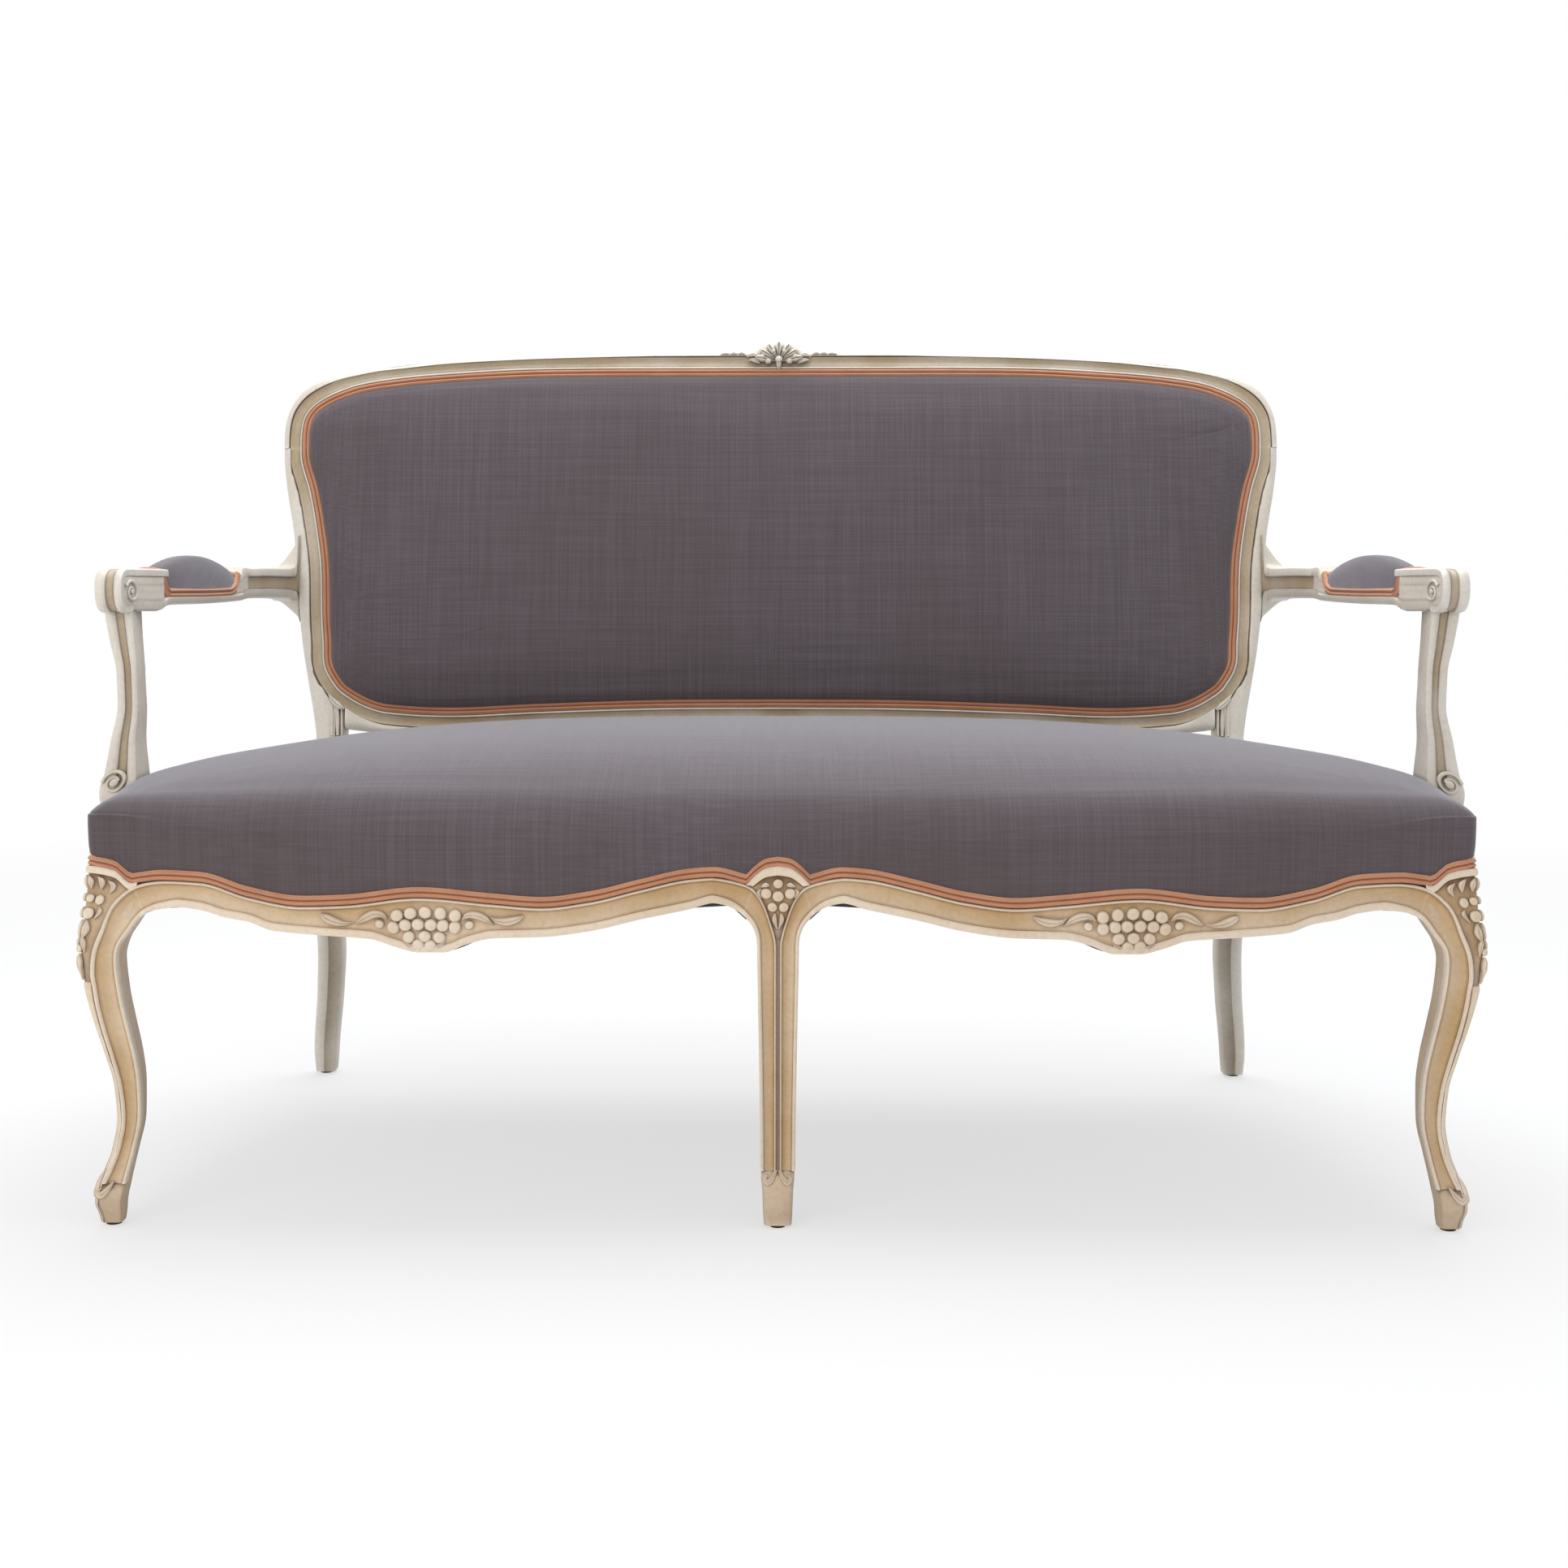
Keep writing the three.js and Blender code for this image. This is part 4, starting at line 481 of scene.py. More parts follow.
def leaf(shape, place, half, path, height=3.0, vein=0.2):
    """A carved leaf or scroll along rows of u, z and half width."""
    rows = spline([[u, z, 0, 0, width] for u, z, width in path], 2.0)
    rings = []
    for i, row in enumerate(rows):
        a, b = rows[max(i - 1, 0)], rows[min(i + 1, len(rows) - 1)]
        run = math.dist(a[:2], b[:2]) or 1
        side = (-(b[1] - a[1]) / run, (b[0] - a[0]) / run)
        full = min(1, row[4] / 2.2)
        ring = []
        for share, lift, dirt in ((-1, -2, 0.6), (-1, 0.1, 0.35), (-0.8, 0.6, 0.05), (-0.4, 1, 0),
                                  (0, 1 - vein, 0.3 if vein > 0.1 else 0), (0.4, 1, 0), (0.8, 0.6, 0.05),
                                  (1, 0.1, 0.35), (1, -2, 0.6)):
            reach = row[4] * share
            x, y, z = place(row[0] + side[0] * reach, row[1] + side[1] * reach,
                            height * lift * full if lift > 0 else lift)
            ring.append((half * x, y, z, 0.18, dirt))
        rings.append(ring)
    skin(shape, rings)


cartouche_x = 334
cartouche_berries = (
    (-30, 307.4), (-15.8, 309.6), (-0.9, 310.6), (13.6, 309.6), (26.8, 307.4), (-29.6, 296.4), (-18, 298),
    (-6.4, 298.6), (6.2, 299), (18.8, 298.4), (30.4, 296.2), (-14.4, 286.8), (-0.2, 287.6), (15.4, 287),
    (-5.6, 278.8), (6.2, 279.6),
)


def cartouche_place(u, z, lift):
    """A place on the cartouche's ground, in the hollow of the cove."""
    x, y, z = front_place(cartouche_x + u, z, lift - 3.2)
    return x, y, z


for name, half in (("left", -1), ("right", 1)):
    shape = new_shape()
    rings = []
    for k in range(146):
        x = lerp(centre_half + 0.05, cheek_x - 0.05, k / 145)
        t = rail_share(x)
        low, line = rail_z(front_low(t)), rail_z(front_line(t))
        face = front_place(x, line, 0)[1]
        rings.append([
            (half * x, face + 6, low + 0.8, 0.6, 0.6), (half * x, face + 6, line - 1, 0.6, 0.6),
            (half * x, face + rebate + 1, rail_top, 0.6, 0.6),
            (half * x, face + rail_thickness, rail_top, 0.5, 0.3),
            (half * x, face + rail_thickness, low + 3, 0.5, 0.3), (half * x, face + rail_thickness - 3, low, 0.5, 0.3),
        ])
    skin(shape, rings)
    along = [i for i, row in enumerate(front_line_stations) if centre_half < (row[0] + row[2]) / 2 < cheek_x]
    moulding(shape, front_line_stations[along[0] - 1:along[-1] + 2], front_place, half)
    for u, z in cartouche_berries:
        berry(shape, cartouche_place, half, u * 0.97, z, 6.3, 5.4)
    berry(shape, cartouche_place, half, -42.5, 298.6, 4.4, 4.2)
    berry(shape, cartouche_place, half, 42.7, 299.4, 4.4, 4.2)
    for path in (
            ((-66, 298, 0.4), (-59, 303.5, 2.8), (-50, 307.6, 4), (-41, 307.8, 3), (-35.6, 304, 1)),
            ((35.6, 304, 1), (40, 308, 2.8), (48, 308.6, 4.2), (57, 304.4, 3.6), (66, 298.6, 0.5)),
            ((-94, 307.4, 0.6), (-87, 303.6, 3.4), (-77, 301.4, 4.2), (-67, 303.2, 2), (-61.5, 306.4, 0.4)),
            ((67, 300.4, 0.5), (76, 299.4, 2.2), (86, 301.2, 4.2), (94, 305, 4), (98.6, 308.2, 1)),
            ((-21, 289, 0.4), (-18, 282.5, 1.8), (-12.5, 277.4, 2.6), (-10, 276.6, 0.6)),
            ((21.6, 289, 0.4), (18.6, 282.5, 1.8), (13, 277.4, 2.6), (10.6, 276.6, 0.6)),
    ):
        leaf(shape, cartouche_place, half, path, 4.6)
    piece_of("rail_front_" + name, shape, warm_lit_paint, ["front_rail_" + name])

# Centre leg
# A beech cabriole leg seen square on. The rails' mouldings meet on it as a thin rib between two ochre channels,
# and open at the knee round a panel of carved petals under a plain arch.
centre_arch = smooth([[0, 0.847], [0.35, 0.83], [0.7, 0.76], [1, 0.663]])
centre_panel_low = smooth([
    [0, 284], [2.2, 286], [4.5, 292], [8, 303], [12, 314], [18, 325], [26, 333], [30, 334.3],
])
centre_core = smooth([[0, 0], [270, 0], [288, 0.8], [296, 4], [303, 9.4], [366, 9.6]])


def panel(shape, place, half, columns, low_at, top_at, arch):
    """A sunk knee panel under a raised arch, as columns across the knee."""
    rings = []
    for u in columns:
        low, top = low_at(u), top_at(u)
        width = min(arch, (top - low) * 0.8)
        ring = []
        for z, lift, tone, dirt in (
                (low, -9, 0.5, 0.5), (low, -1.9, 0.6, 0.8), (lerp(low, top - width, 0.3), -1.5, 0.75, 0.25),
                (lerp(low, top - width, 0.7), -1.5, 0.75, 0.25), (top - width - 0.5, -1.7, 0.6, 0.9),
                (top - width, -0.6, 0.3, 0.6), (top - width + 0.6, 0.7, 0.05, 0), (top - width * 0.5, 1.1, 0, 0),
                (top - 0.3, 0.7, 0, 0.02), (top + 1.6, -0.4, 0, 0.2), (top + 1.6, -9, 0.5, 0.5),
        ):
            x, y, z = place(u, z, lift)
            ring.append((half * x, y, z, tone, dirt))
        rings.append(ring)
    skin(shape, rings)


def four_sided(x_low, x_high, y_low, y_high, radius, z, tone=0.35, dirt=0.12):
    """A rounded four-sided ring at a height."""
    ring = []
    for x, y, turn in ((x_low, y_low, 180), (x_high, y_low, 270), (x_high, y_high, 0), (x_low, y_high, 90)):
        centre_x = x + math.copysign(radius, (x_low + x_high) / 2 - x)
        centre_y = y + math.copysign(radius, (y_low + y_high) / 2 - y)
        for step in (0, 30, 60, 90):
            angle = math.radians(turn + step)
            ring.append((centre_x + radius * math.cos(angle), centre_y + radius * math.sin(angle), z, tone, dirt))
    return ring


shape = new_shape()
rings = []
for k in range(92):
    z = lerp(leg_foot, rail_top, k / 91)
    wide = centre_width(min(z, 280)) / 2 + centre_core(z) - (0.5 if z > 50 else 0)
    sunk = 5.2 * ease(z, 52, 57)
    face = -reach_at(z)
    deep = lerp(centre_width(min(z, 280)), 39.2, ease(z, 250, 320))
    rings.append(four_sided(-wide, wide, face + sunk, face + deep, 3.2 if z > 50 else 5.5, z, 0.3, 0.1))
skin(shape, rings)
for half in (-1, 1):
    moulding(shape, [row for row in front_line_stations if (row[0] + row[2]) / 2 <= centre_half],
             front_place, half)
panel(shape, front_place, 1, [lerp(-centre_half, centre_half, k / 60) for k in range(61)],
      lambda u: centre_panel_low(abs(u)), lambda u: rail_z(centre_arch(abs(u) / centre_half)), 7.6)
for u, z, radius in ((0, 336.4, 4.6), (-11.4, 327.2, 5.2), (11.4, 327.2, 5.2), (0, 324.6, 5.4), (-5.4, 314.4, 4.6),
                     (5.4, 314.4, 4.6)):
    berry(shape, front_place, 1, u, z, radius, 2.6)
for path in (
        ((-8, 334.6, 0.4), (-11.6, 335.4, 2.6), (-16, 333.4, 0.5)), ((8, 334.6, 0.4), (11.6, 335.4, 2.6), (16, 333.4, 0.5)),
        ((-3, 308.6, 1), (-3.4, 303, 2.4), (-0.8, 294, 0.6)), ((3, 308.6, 1), (3.4, 303, 2.4), (0.8, 294, 0.6)),
        ((-16, 331, 0.5), (-18.6, 328.4, 1.8), (-15.6, 322.6, 0.4)), ((16, 331, 0.5), (18.6, 328.4, 1.8), (15.6, 322.6, 0.4)),
):
    leaf(shape, front_place, 1, path, 2.4)
for half in (-1, 1):
    leaf(shape, front_place, half, ((1.6, 57, 1.2), (5, 50, 2.4), (9.5, 46, 3.2), (12.4, 49.6, 2.2), (9.6, 52.6, 0.8)), 2.6)
piece_of("leg_centre", shape, warm_lit_paint, ["front_leg_centre"])

# Corner legs
# Each corner leg is one piece of beech, cabriole towards its own corner. Both outer faces carry the rails'
# moulding down to a small scrolled foot, and the knee has a wrapped panel of leaves and buds.
corner_arch = smooth([[0, 0.67], [0.1, 0.66], [0.45, 0.79], [0.8, 0.83], [1, 0.84]])
knee_low = smooth([
    [0, 241], [7, 241], [9.5, 244], [10.5, 256], [14.5, 276], [21, 296], [29, 313.5], [40, 325.5], [49, 332],
])
arris = 5


def corner_place(u, z, lift):
    """A place round the leg's corner: u is the distance from it, negative on the front and positive on the side."""
    reach = reach_at(z)
    if abs(u) < arris:
        turn = math.radians((u + arris) / arris * 45)
        out = arris + lift
        return foot_x + reach - arris + out * math.sin(turn), -reach + arris - out * math.cos(turn), z
    face = face_at(abs(u), z) + lift
    along = reach - abs(u)
    return (foot_x + along, -face, z) if u < 0 else (foot_x + face, -along, z)


def side_from_front(row):
    """A front station of the corner leg, turned onto the leg's outer side."""
    return [foot_x - row[0], row[1], foot_x - row[2]] + row[3:]


def side_face(y):
    """Face of the side rail, bowed out behind the corner leg."""
    return 584 + 75.5 * side_bow((y - cheek_y) / 525)


side_bow = smooth([[0, 1], [0.1, 1.13], [0.21, 1.19], [0.34, 1.12], [0.5, 0.9], [0.69, 0.56], [0.88, 0.21], [1, 0]])
side_low = smooth([[0, 0.325], [0.06, 0.43], [0.25, 0.25], [0.5, 0.16], [0.75, 0.25], [0.93, 0.4], [1, 0.36]])
side_line = smooth([[0, 0.67], [0.06, 0.7], [0.25, 0.55], [0.5, 0.45], [0.75, 0.55], [0.93, 0.7], [1, 0.72]])


def side_place(y, z, lift):
    """A place on the side of the corner leg and the side rail, lifted off it."""
    face = face_at(y + reach_at(z), z) + lift
    if y > cheek_y:
        face += side_face(y) - side_face(cheek_y)
    return foot_x + face, y, z


leg_stations = [row for row in front_line_stations if (row[0] + row[2]) / 2 >= cheek_x]
for name, half in (("left", -1), ("right", 1)):
    shape = new_shape()
    rings = []
    for k in range(122):
        z = lerp(leg_foot, rail_top, k / 121)
        reach, width, band = reach_at(z), width_at(z), knee_band(z)
        corner_x, corner_y = foot_x + reach, -reach
        sunk, core = 5.4 * ease(z, 36, 42), 5.4 * ease(z, 238, 244)
        rim = max(core, 0.4 * ease(z, 36, 42))
        faces = [
            (width, sunk + 4, 0.4, 0.15), (width - 1.3, sunk + 0.8, 0.4, 0.3), (width - 4, sunk, 0.3, 0.2),
            (band + 2, sunk, 0.3, 0.3), (band - 0.2, rim, 0.5, 0.9), (band - 1, core, 0.15, 0.05),
            (arris, core, 0.05, 0), (arris * 0.66, core + arris * 0.06, 0, 0), (arris * 0.29, core + arris * 0.29, 0, 0),
        ]
        ring = [(half * (corner_x - d), corner_y + depth, z, tone, dirt) for d, depth, tone, dirt in faces]
        ring += [(half * (corner_x - depth), corner_y + d, z, tone, dirt) for d, depth, tone, dirt in faces[:-1][::-1]]
        ring += [
            (half * (corner_x - width + 6), corner_y + width, z, 0.4, 0.2),
            (half * (corner_x - width + 1.8), corner_y + width - 1.8, z, 0.4, 0.2),
            (half * (corner_x - width), corner_y + width - 6, z, 0.4, 0.2),
        ]
        rings.append(ring)
    skin(shape, rings)
    moulding(shape, leg_stations, front_place, half)
    moulding(shape, [side_from_front(row) for row in leg_stations], side_place, half)
    panel(shape, corner_place, half, [lerp(-49, 49, k / 98) for k in range(99)], lambda u: knee_low(abs(u)),
          lambda u: rail_z(corner_arch(1 - abs(u) / 49)), 5.6)
    for u, z, radius in ((-15.5, 320, 4.6), (-6.4, 321.6, 4), (-6.4, 307.4, 5.6), (6.4, 307.4, 5.6), (6.4, 321.6, 4),
                         (15.5, 320, 4.6), (0, 273.6, 4)):
        berry(shape, corner_place, half, u, z, radius, 3)
    for side in (-1, 1):
        for path in (
                ((side * 3, 343, 0.5), (side * 5.4, 337.6, 3), (side * 6, 330.6, 0.6)),
                ((side * 12, 342, 0.5), (side * 16, 337, 3.2), (side * 15.6, 329.6, 0.6)),
                ((side * 22, 338, 0.5), (side * 27, 333, 2.8), (side * 24, 326, 0.6)),
                ((side * 16, 313, 0.5), (side * 17.6, 309.4, 2), (side * 12.4, 301.6, 0.5)),
                ((side * 6.4, 300.4, 0.8), (side * 5.6, 292, 4), (side * 3.6, 284, 1)),
                ((side * 2.4, 286, 0.8), (side * 4.8, 279.6, 2.6), (side * 6.2, 270, 0.6)),
        ):
            leaf(shape, corner_place, half, path, 3)
        leaf(shape, corner_place, half, ((side * 15, 44, 1), (side * 11.6, 36.6, 3), (side * 6, 31.4, 4),
                                         (side * 2.6, 35, 2.6), (side * 5.4, 38.4, 1)), 3.2)
    leaf(shape, corner_place, half, ((0, 268.6, 0.8), (0, 262, 3.4), (0, 251.6, 1.4), (0, 243, 0.5)), 3)
    leaf(shape, corner_place, half, ((0, 56, 0.5), (0, 47, 2.6), (0, 38, 3.6), (0, 29, 0.6)), 2.8)
    piece_of("leg_front_" + name, shape, warm_lit_paint, ["front_leg_" + name])

# Side rails
# The bowed side rails are tenoned between the corner legs and the rear posts, and carry the same moulding.
post_front = 566


def side_stations():
    """The moulding of the side, from the corner leg to the rear post."""
    rows = [[32.1, 288.7, 15.5, 313.5, 3.8, 3.6, 3], [39, 298.6, 26.5, 325.5, 4.2, 3.3, 3],
            [45.5, 304.8, 36.5, 332, 4.6, 3, 3], [53.5, 309, 47.5, 335.6, 5.6, 2.8, 2.9],
            [63.5, 310.2, 61.5, 337, 6.6, 2.5, 2.7]]
    for k in range(1, 64):
        y = lerp(63.5, post_front - 0.3, k / 63)
        t = (y - cheek_y) / 525
        rows.append([y, rail_z(side_low(t)), y, rail_z(side_line(t)), 7.4, 2.4, 2.6])
    along = [row for row in spline(rows, 4) if (row[0] + row[2]) / 2 > cheek_y]
    return [side_from_front(leg_stations[0])] + along


for name, half in (("left", -1), ("right", 1)):
    shape = new_shape()
    rings = []
    for k in range(100):
        y = lerp(cheek_y + 0.05, post_front - 0.3, k / 99)
        t = (y - cheek_y) / 525
        low, line, face = rail_z(side_low(t)), rail_z(side_line(t)), side_face(y)
        rings.append([
            (half * (face - 6), y, low + 0.8, 0.6, 0.6), (half * (face - 6), y, line - 1, 0.6, 0.6),
            (half * (face - rebate - 1), y, rail_top, 0.6, 0.6),
            (half * (face - rail_thickness), y, rail_top, 0.5, 0.3),
            (half * (face - rail_thickness), y, low + 3, 0.5, 0.3), (half * (face - rail_thickness + 3), y, low, 0.5, 0.3),
        ])
    skin(shape, rings)
    moulding(shape, side_stations(), side_place, half)
    piece_of("rail_side_" + name, shape, warm_lit_paint, ["side_rail_" + name])

# Rear posts
# Each rear leg and back stile is one piece of beech, splayed at the foot, raked above the seat. The stile has a
# rolled outer band, and the moulding of the back's show edge runs up its inner side.
back_low, back_height, back_half = 437, 488, 632.4
show_rows = [
    [0, 0.074], [0.24, 0.072], [0.48, 0.062], [0.65, 0.0525], [0.778, 0.0615], [0.822, 0.078], [0.8618, 0.107],
    [0.879, 0.127], [0.902, 0.178], [0.9062, 0.24], [0.9105, 0.305], [0.9156, 0.442], [0.9288, 0.555],
    [0.942, 0.635], [0.9587, 0.705], [0.9617, 0.744], [0.9603, 0.797], [0.953, 0.83], [0.933, 0.86],
    [0.896, 0.887], [0.844, 0.91], [0.756, 0.9275], [0.664, 0.9377], [0.522, 0.948], [0.376, 0.951],
    [0.229, 0.9513], [0.11, 0.9513], [0, 0.9513],
]
moulding_width = 16.7


def back_place(x, z, lift):
    """A place on the raked face of the back frame."""
    return x, 594 + 0.2 * (z - back_low) - lift, z


def outward(points):
    """Points of a line in x and z, with the direction away from the show opening."""
    result = []
    for i, (x, z) in enumerate(points):
        a, b = points[max(i - 1, 0)], points[min(i + 1, len(points) - 1)]
        run = math.dist(a, b)
        result.append((x, z, (b[1] - a[1]) / run, -(b[0] - a[0]) / run))
    return result


show_edge = outward([
    (row[0], row[1]) for row in spline(
        [[back_half * x, back_low + back_height * z, 0, 0] for x, z in show_rows], 3.5)
])
corner_index = min(range(len(show_edge)), key=lambda i: math.dist(show_edge[i][:2], (545, 489.2)))
joint_index = next(i for i, row in enumerate(show_edge) if row[1] > 800 and row[0] > 500)
back_rows = [(0, -9, 0.5, 0.5), (0, -0.4, 0, 0.02), (0.7, 0.9, 0, 0), (1.4, 1.2, 0, 0), (2.1, 0.8, 0, 0.02),
             (2.7, -0.6, 0.3, 0.5), (3.2, -1.3, 0.6, 0.8), (3.9, -1.6, 0.7, 0.3)]
back_rows += [(3.9 + 11 * k / 6, -1.6 - 2.2 * math.sin(math.pi * k / 6), 0.75 + 0.2 * k / 6, 0.1) for k in range(1, 6)]
back_rows += [(15, -1.4, 0.6, 0.3), (15.7, -2, 0.5, 1), (16.7, -1.9, 0.4, 0.9), (16.7, -9, 0.5, 0.5)]


def back_moulding(shape, rows, half):
    """Sweeps the back's moulding along part of the show edge."""
    rings = []
    for x, z, out_x, out_z in rows:
        ring = []
        for distance, lift, tone, dirt in back_rows:
            px, py, pz = back_place(x + out_x * distance, z + out_z * distance, lift)
            ring.append((half * px, py, pz, tone, dirt))
        rings.append(ring)
    skin(shape, rings)


stile_outer = smooth([
    [0, 0.92], [0.055, 0.9266], [0.138, 0.939], [0.221, 0.951], [0.305, 0.96], [0.41, 0.968], [0.516, 0.9756],
    [0.557, 0.981], [0.643, 0.993], [0.727, 1], [0.744, 1],
])
stile_inner = smooth([
    [0, 0.8618], [0.137, 0.8618], [0.178, 0.879], [0.305, 0.887], [0.442, 0.892], [0.555, 0.905], [0.635, 0.918],
    [0.705, 0.9345], [0.744, 0.938],
])
rear_rows = [
    [0, 1, 1, 0.8, 0.72], [0.069, 0.93, 0.93, 0.9, 0.8], [0.3, 0.27, 0.61, 0.97, 0.86],
    [0.474, -0.05, 0.36, 1, 0.92], [0.653, -0.03, 0.14, 1, 0.97], [0.736, 0, 0, 1, 1], [1.016, 0, 0, 1, 1],
]
rear_x, rear_y, rear_wide, rear_deep = (smooth([[row[0], row[k]] for row in rear_rows]) for k in (1, 2, 3, 4))
groove_line = sorted((z + out_z * moulding_width, x + out_x * moulding_width)
                     for x, z, out_x, out_z in show_edge[corner_index:joint_index + 1])


def groove_at(z):
    """Where the moulding ends on the stile at a height."""
    if z < groove_line[0][0]:
        return groove_line[0][1] + (groove_line[0][0] - z) * 0.05
    return min(groove_line, key=lambda row: abs(row[0] - z))[1]


def post_ring(half, z, inner, outer, front, back, step, sunk, roll):
    """A ring of the post: sunk ground, a step up to the rolled outer band, and a plain back."""
    points = [
        (inner, front + sunk + 3, 0.4, 0.2), (inner + 1, front + sunk, 0.4, 0.3), (step - 0.5, front + sunk, 0.5, 0.6),
        (step, front + min(sunk, 0.6), 0.3, 0.7), (step + 0.8, front - 0.1, 0.05, 0.05),
        (lerp(step, outer - roll, 0.6), front - 0.5, 0, 0), (outer - roll, front - 0.2, 0, 0),
        (outer - roll * 0.5, front + roll * 0.13, 0, 0), (outer - roll * 0.13, front + roll * 0.5, 0.02, 0),
        (outer, front + roll, 0.05, 0.02), (outer, back - 3, 0.1, 0.08), (outer - 1, back - 1, 0.1, 0.05),
        (outer - 3, back, 0.1, 0.08), (inner + 4, back, 0.2, 0.1), (inner + 1.2, back - 1.2, 0.2, 0.1),
        (inner, back - 4, 0.3, 0.15),
    ]
    return [(half * x, y, z, tone, dirt) for x, y, tone, dirt in points]


for name, half in (("left", -1), ("right", 1)):
    shape = new_shape()
    rings = []
    for k in range(70):
        share = lerp(0, 1.016, k / 69)
        z = leg_foot + leg_height * share
        x, y = 568 + 15 * rear_x(share), 584 + 44 * rear_y(share)
        wide, deep = 16 * rear_wide(share), 18 * rear_deep(share)
        rings.append(post_ring(half, z, x - wide, x + wide, y - deep, y + deep, x, 0, 9))
    for k in range(92):
        z = lerp(back_low, 799.7, k / 91)
        level = (z - back_low) / back_height
        outer = back_half * stile_outer(level)
        step = min(groove_at(z), outer - 10)
        face = back_place(0, z, 0)[1]
        sunk = 1.6 + 4.4 * ease(z, 468, 478)
        rings.append(post_ring(half, z, back_half * stile_inner(level), outer, face, face + 30, step, sunk, 9))
    skin(shape, rings)
    back_moulding(shape, show_edge[corner_index:joint_index + 1], half)
    for reed, wide in ((548, 1.6), (553.2, 2.6), (560.4, 3.0)):
        leaf(shape, back_place, half, ((reed, 438, wide * 0.7), (reed + 0.4, 455, wide), (reed + 1, 474, wide * 0.6)),
             1.8, 0)
    leaf(shape, back_place, half, ((566, 489, 0.6), (560, 481, 3.4), (552, 474, 3.8), (545.6, 470.6, 0.8)), 3.2)
    piece_of("post_rear_" + name, shape, cool_lit_paint, ["rear_post_" + name])

# Crest rail
# Both rounded top corners and the arched top are one crest rail, standing on the stiles. A star of petals and
# shells is carved in its middle, with small leaves trailing along the band.
crest_outer = [[1, 0.744], [0.998, 0.805], [0.988, 0.85], [0.963, 0.897], [0.922, 0.926], [0.873, 0.943],
               [0.773, 0.959], [0.675, 0.973], [0.527, 0.984], [0.378, 0.99], [0.229, 0.994], [0.11, 0.999]]
crest_show = show_rows[15:27]
crest_half, crest_rise = 45, 15


def frame_ring(half, outer, show, roll_share=0.8):
    """A ring of the back frame across its width, from the show edge out to the rolled edge."""
    width = math.dist(outer, show)
    run = ((outer[0] - show[0]) / width, (outer[1] - show[1]) / width)
    step = min(moulding_width - 0.2, width - 4)
    roll = min(9, (width - step) * roll_share)
    rows = [
        (-14, -9, 0.4, 0.3), (-14, -6, 0.4, 0.3), (step - 0.5, -6, 0.5, 0.6), (step, -0.6, 0.3, 0.7),
        (step + 0.7, 0.1, 0.05, 0.05), (lerp(step, width - roll, 0.6), 0.5, 0, 0), (width - roll, 0.2, 0, 0),
        (width - roll * 0.5, -roll * 0.13, 0, 0), (width - roll * 0.13, -roll * 0.5, 0.02, 0),
        (width, -roll, 0.05, 0.02), (width, -27, 0.1, 0.08), (width - 1, -29, 0.1, 0.05), (width - 3, -30, 0.1, 0.08),
        (-11, -30, 0.2, 0.1), (-14, -27, 0.2, 0.1),
    ]
    ring = []
    for distance, lift, tone, dirt in rows:
        x, y, z = back_place(show[0] + run[0] * distance, show[1] + run[1] * distance, lift)
        ring.append((half * x, y, z, tone, dirt))
    return ring


crest_pairs = [[back_half * a, back_low + back_height * b, back_half * c, back_low + back_height * d]
               for (a, b), (c, d) in zip(crest_outer, crest_show)]
crest_top, crest_line = crest_pairs[-1][1], crest_pairs[-1][3]
crest_pairs += [[crest_half * x, crest_top + crest_rise * rise, crest_half * x, crest_line]
                for x, rise in ((1, 0.15), (0.7, 0.35), (0.4, 0.85), (0, 1))]
right_rows = spline(crest_pairs, 5)
right_rows[0][1] = right_rows[0][3] = 800
shape = new_shape()
rings = [frame_ring(1, row[:2], row[2:]) for row in right_rows]
rings += [frame_ring(-1, row[:2], row[2:]) for row in right_rows[::-1][1:]]
skin(shape, rings)
upper_edge = show_edge[joint_index:]
for half in (-1, 1):
    back_moulding(shape, upper_edge, half)


def crest_place(x, z, lift):
    """A place on the crest's carved middle."""
    return back_place(x, z, lift + 0.8)


for k, turn in enumerate((-78, -52, -26, 0, 26, 52, 78)):
    angle = math.radians(turn)
    long = (23, 22, 23, 24, 23, 22, 23)[k]
    leaf(shape, crest_place, 1, tuple(
        (0.0 + long * share * math.sin(angle) * 1.25, 911 + long * share * math.cos(angle) * 0.98, wide)
        for share, wide in ((0.16, 0.8), (0.5, 3.0), (0.82, 4.4), (1.02, 2.4), (1.1, 0.5))), 6.5, 0.3)
for x, z, radius in ((0, 913.5, 5), (-13.5, 911.6, 4.4), (13.5, 911.6, 4.4), (-20.5, 917.5, 3.4), (20.5, 917.5, 3.4),
                     (-7, 924, 3.2), (7, 924, 3.2)):
    berry(shape, crest_place, 1, x, z, radius, 6.5)
leaf(shape, crest_place, 1, ((0, 917, 1.2), (0, 909, 3.4), (0, 902.4, 2.2), (0, 898.6, 0.5)), 5)
for half in (-1, 1):
    for path in (
            ((26, 916, 0.6), (31, 919.6, 3.2), (37, 919, 2.6), (41, 916.6, 0.5)),
            ((24, 908, 0.6), (29, 911.6, 3), (35, 913, 2), (39, 912, 0.5)),
            ((43, 920, 0.5), (47.5, 921.6, 2), (52, 920.6, 0.5)), ((53, 920.6, 0.5), (57.5, 921.6, 1.9), (62, 920.4, 0.5)),
            ((63, 920.4, 0.5), (68, 921.2, 1.6), (74, 920.2, 0.4)),
    ):
        leaf(shape, crest_place, half, path, 3.4)
piece_of("crest", shape, cool_lit_paint, ["crest_rail"])

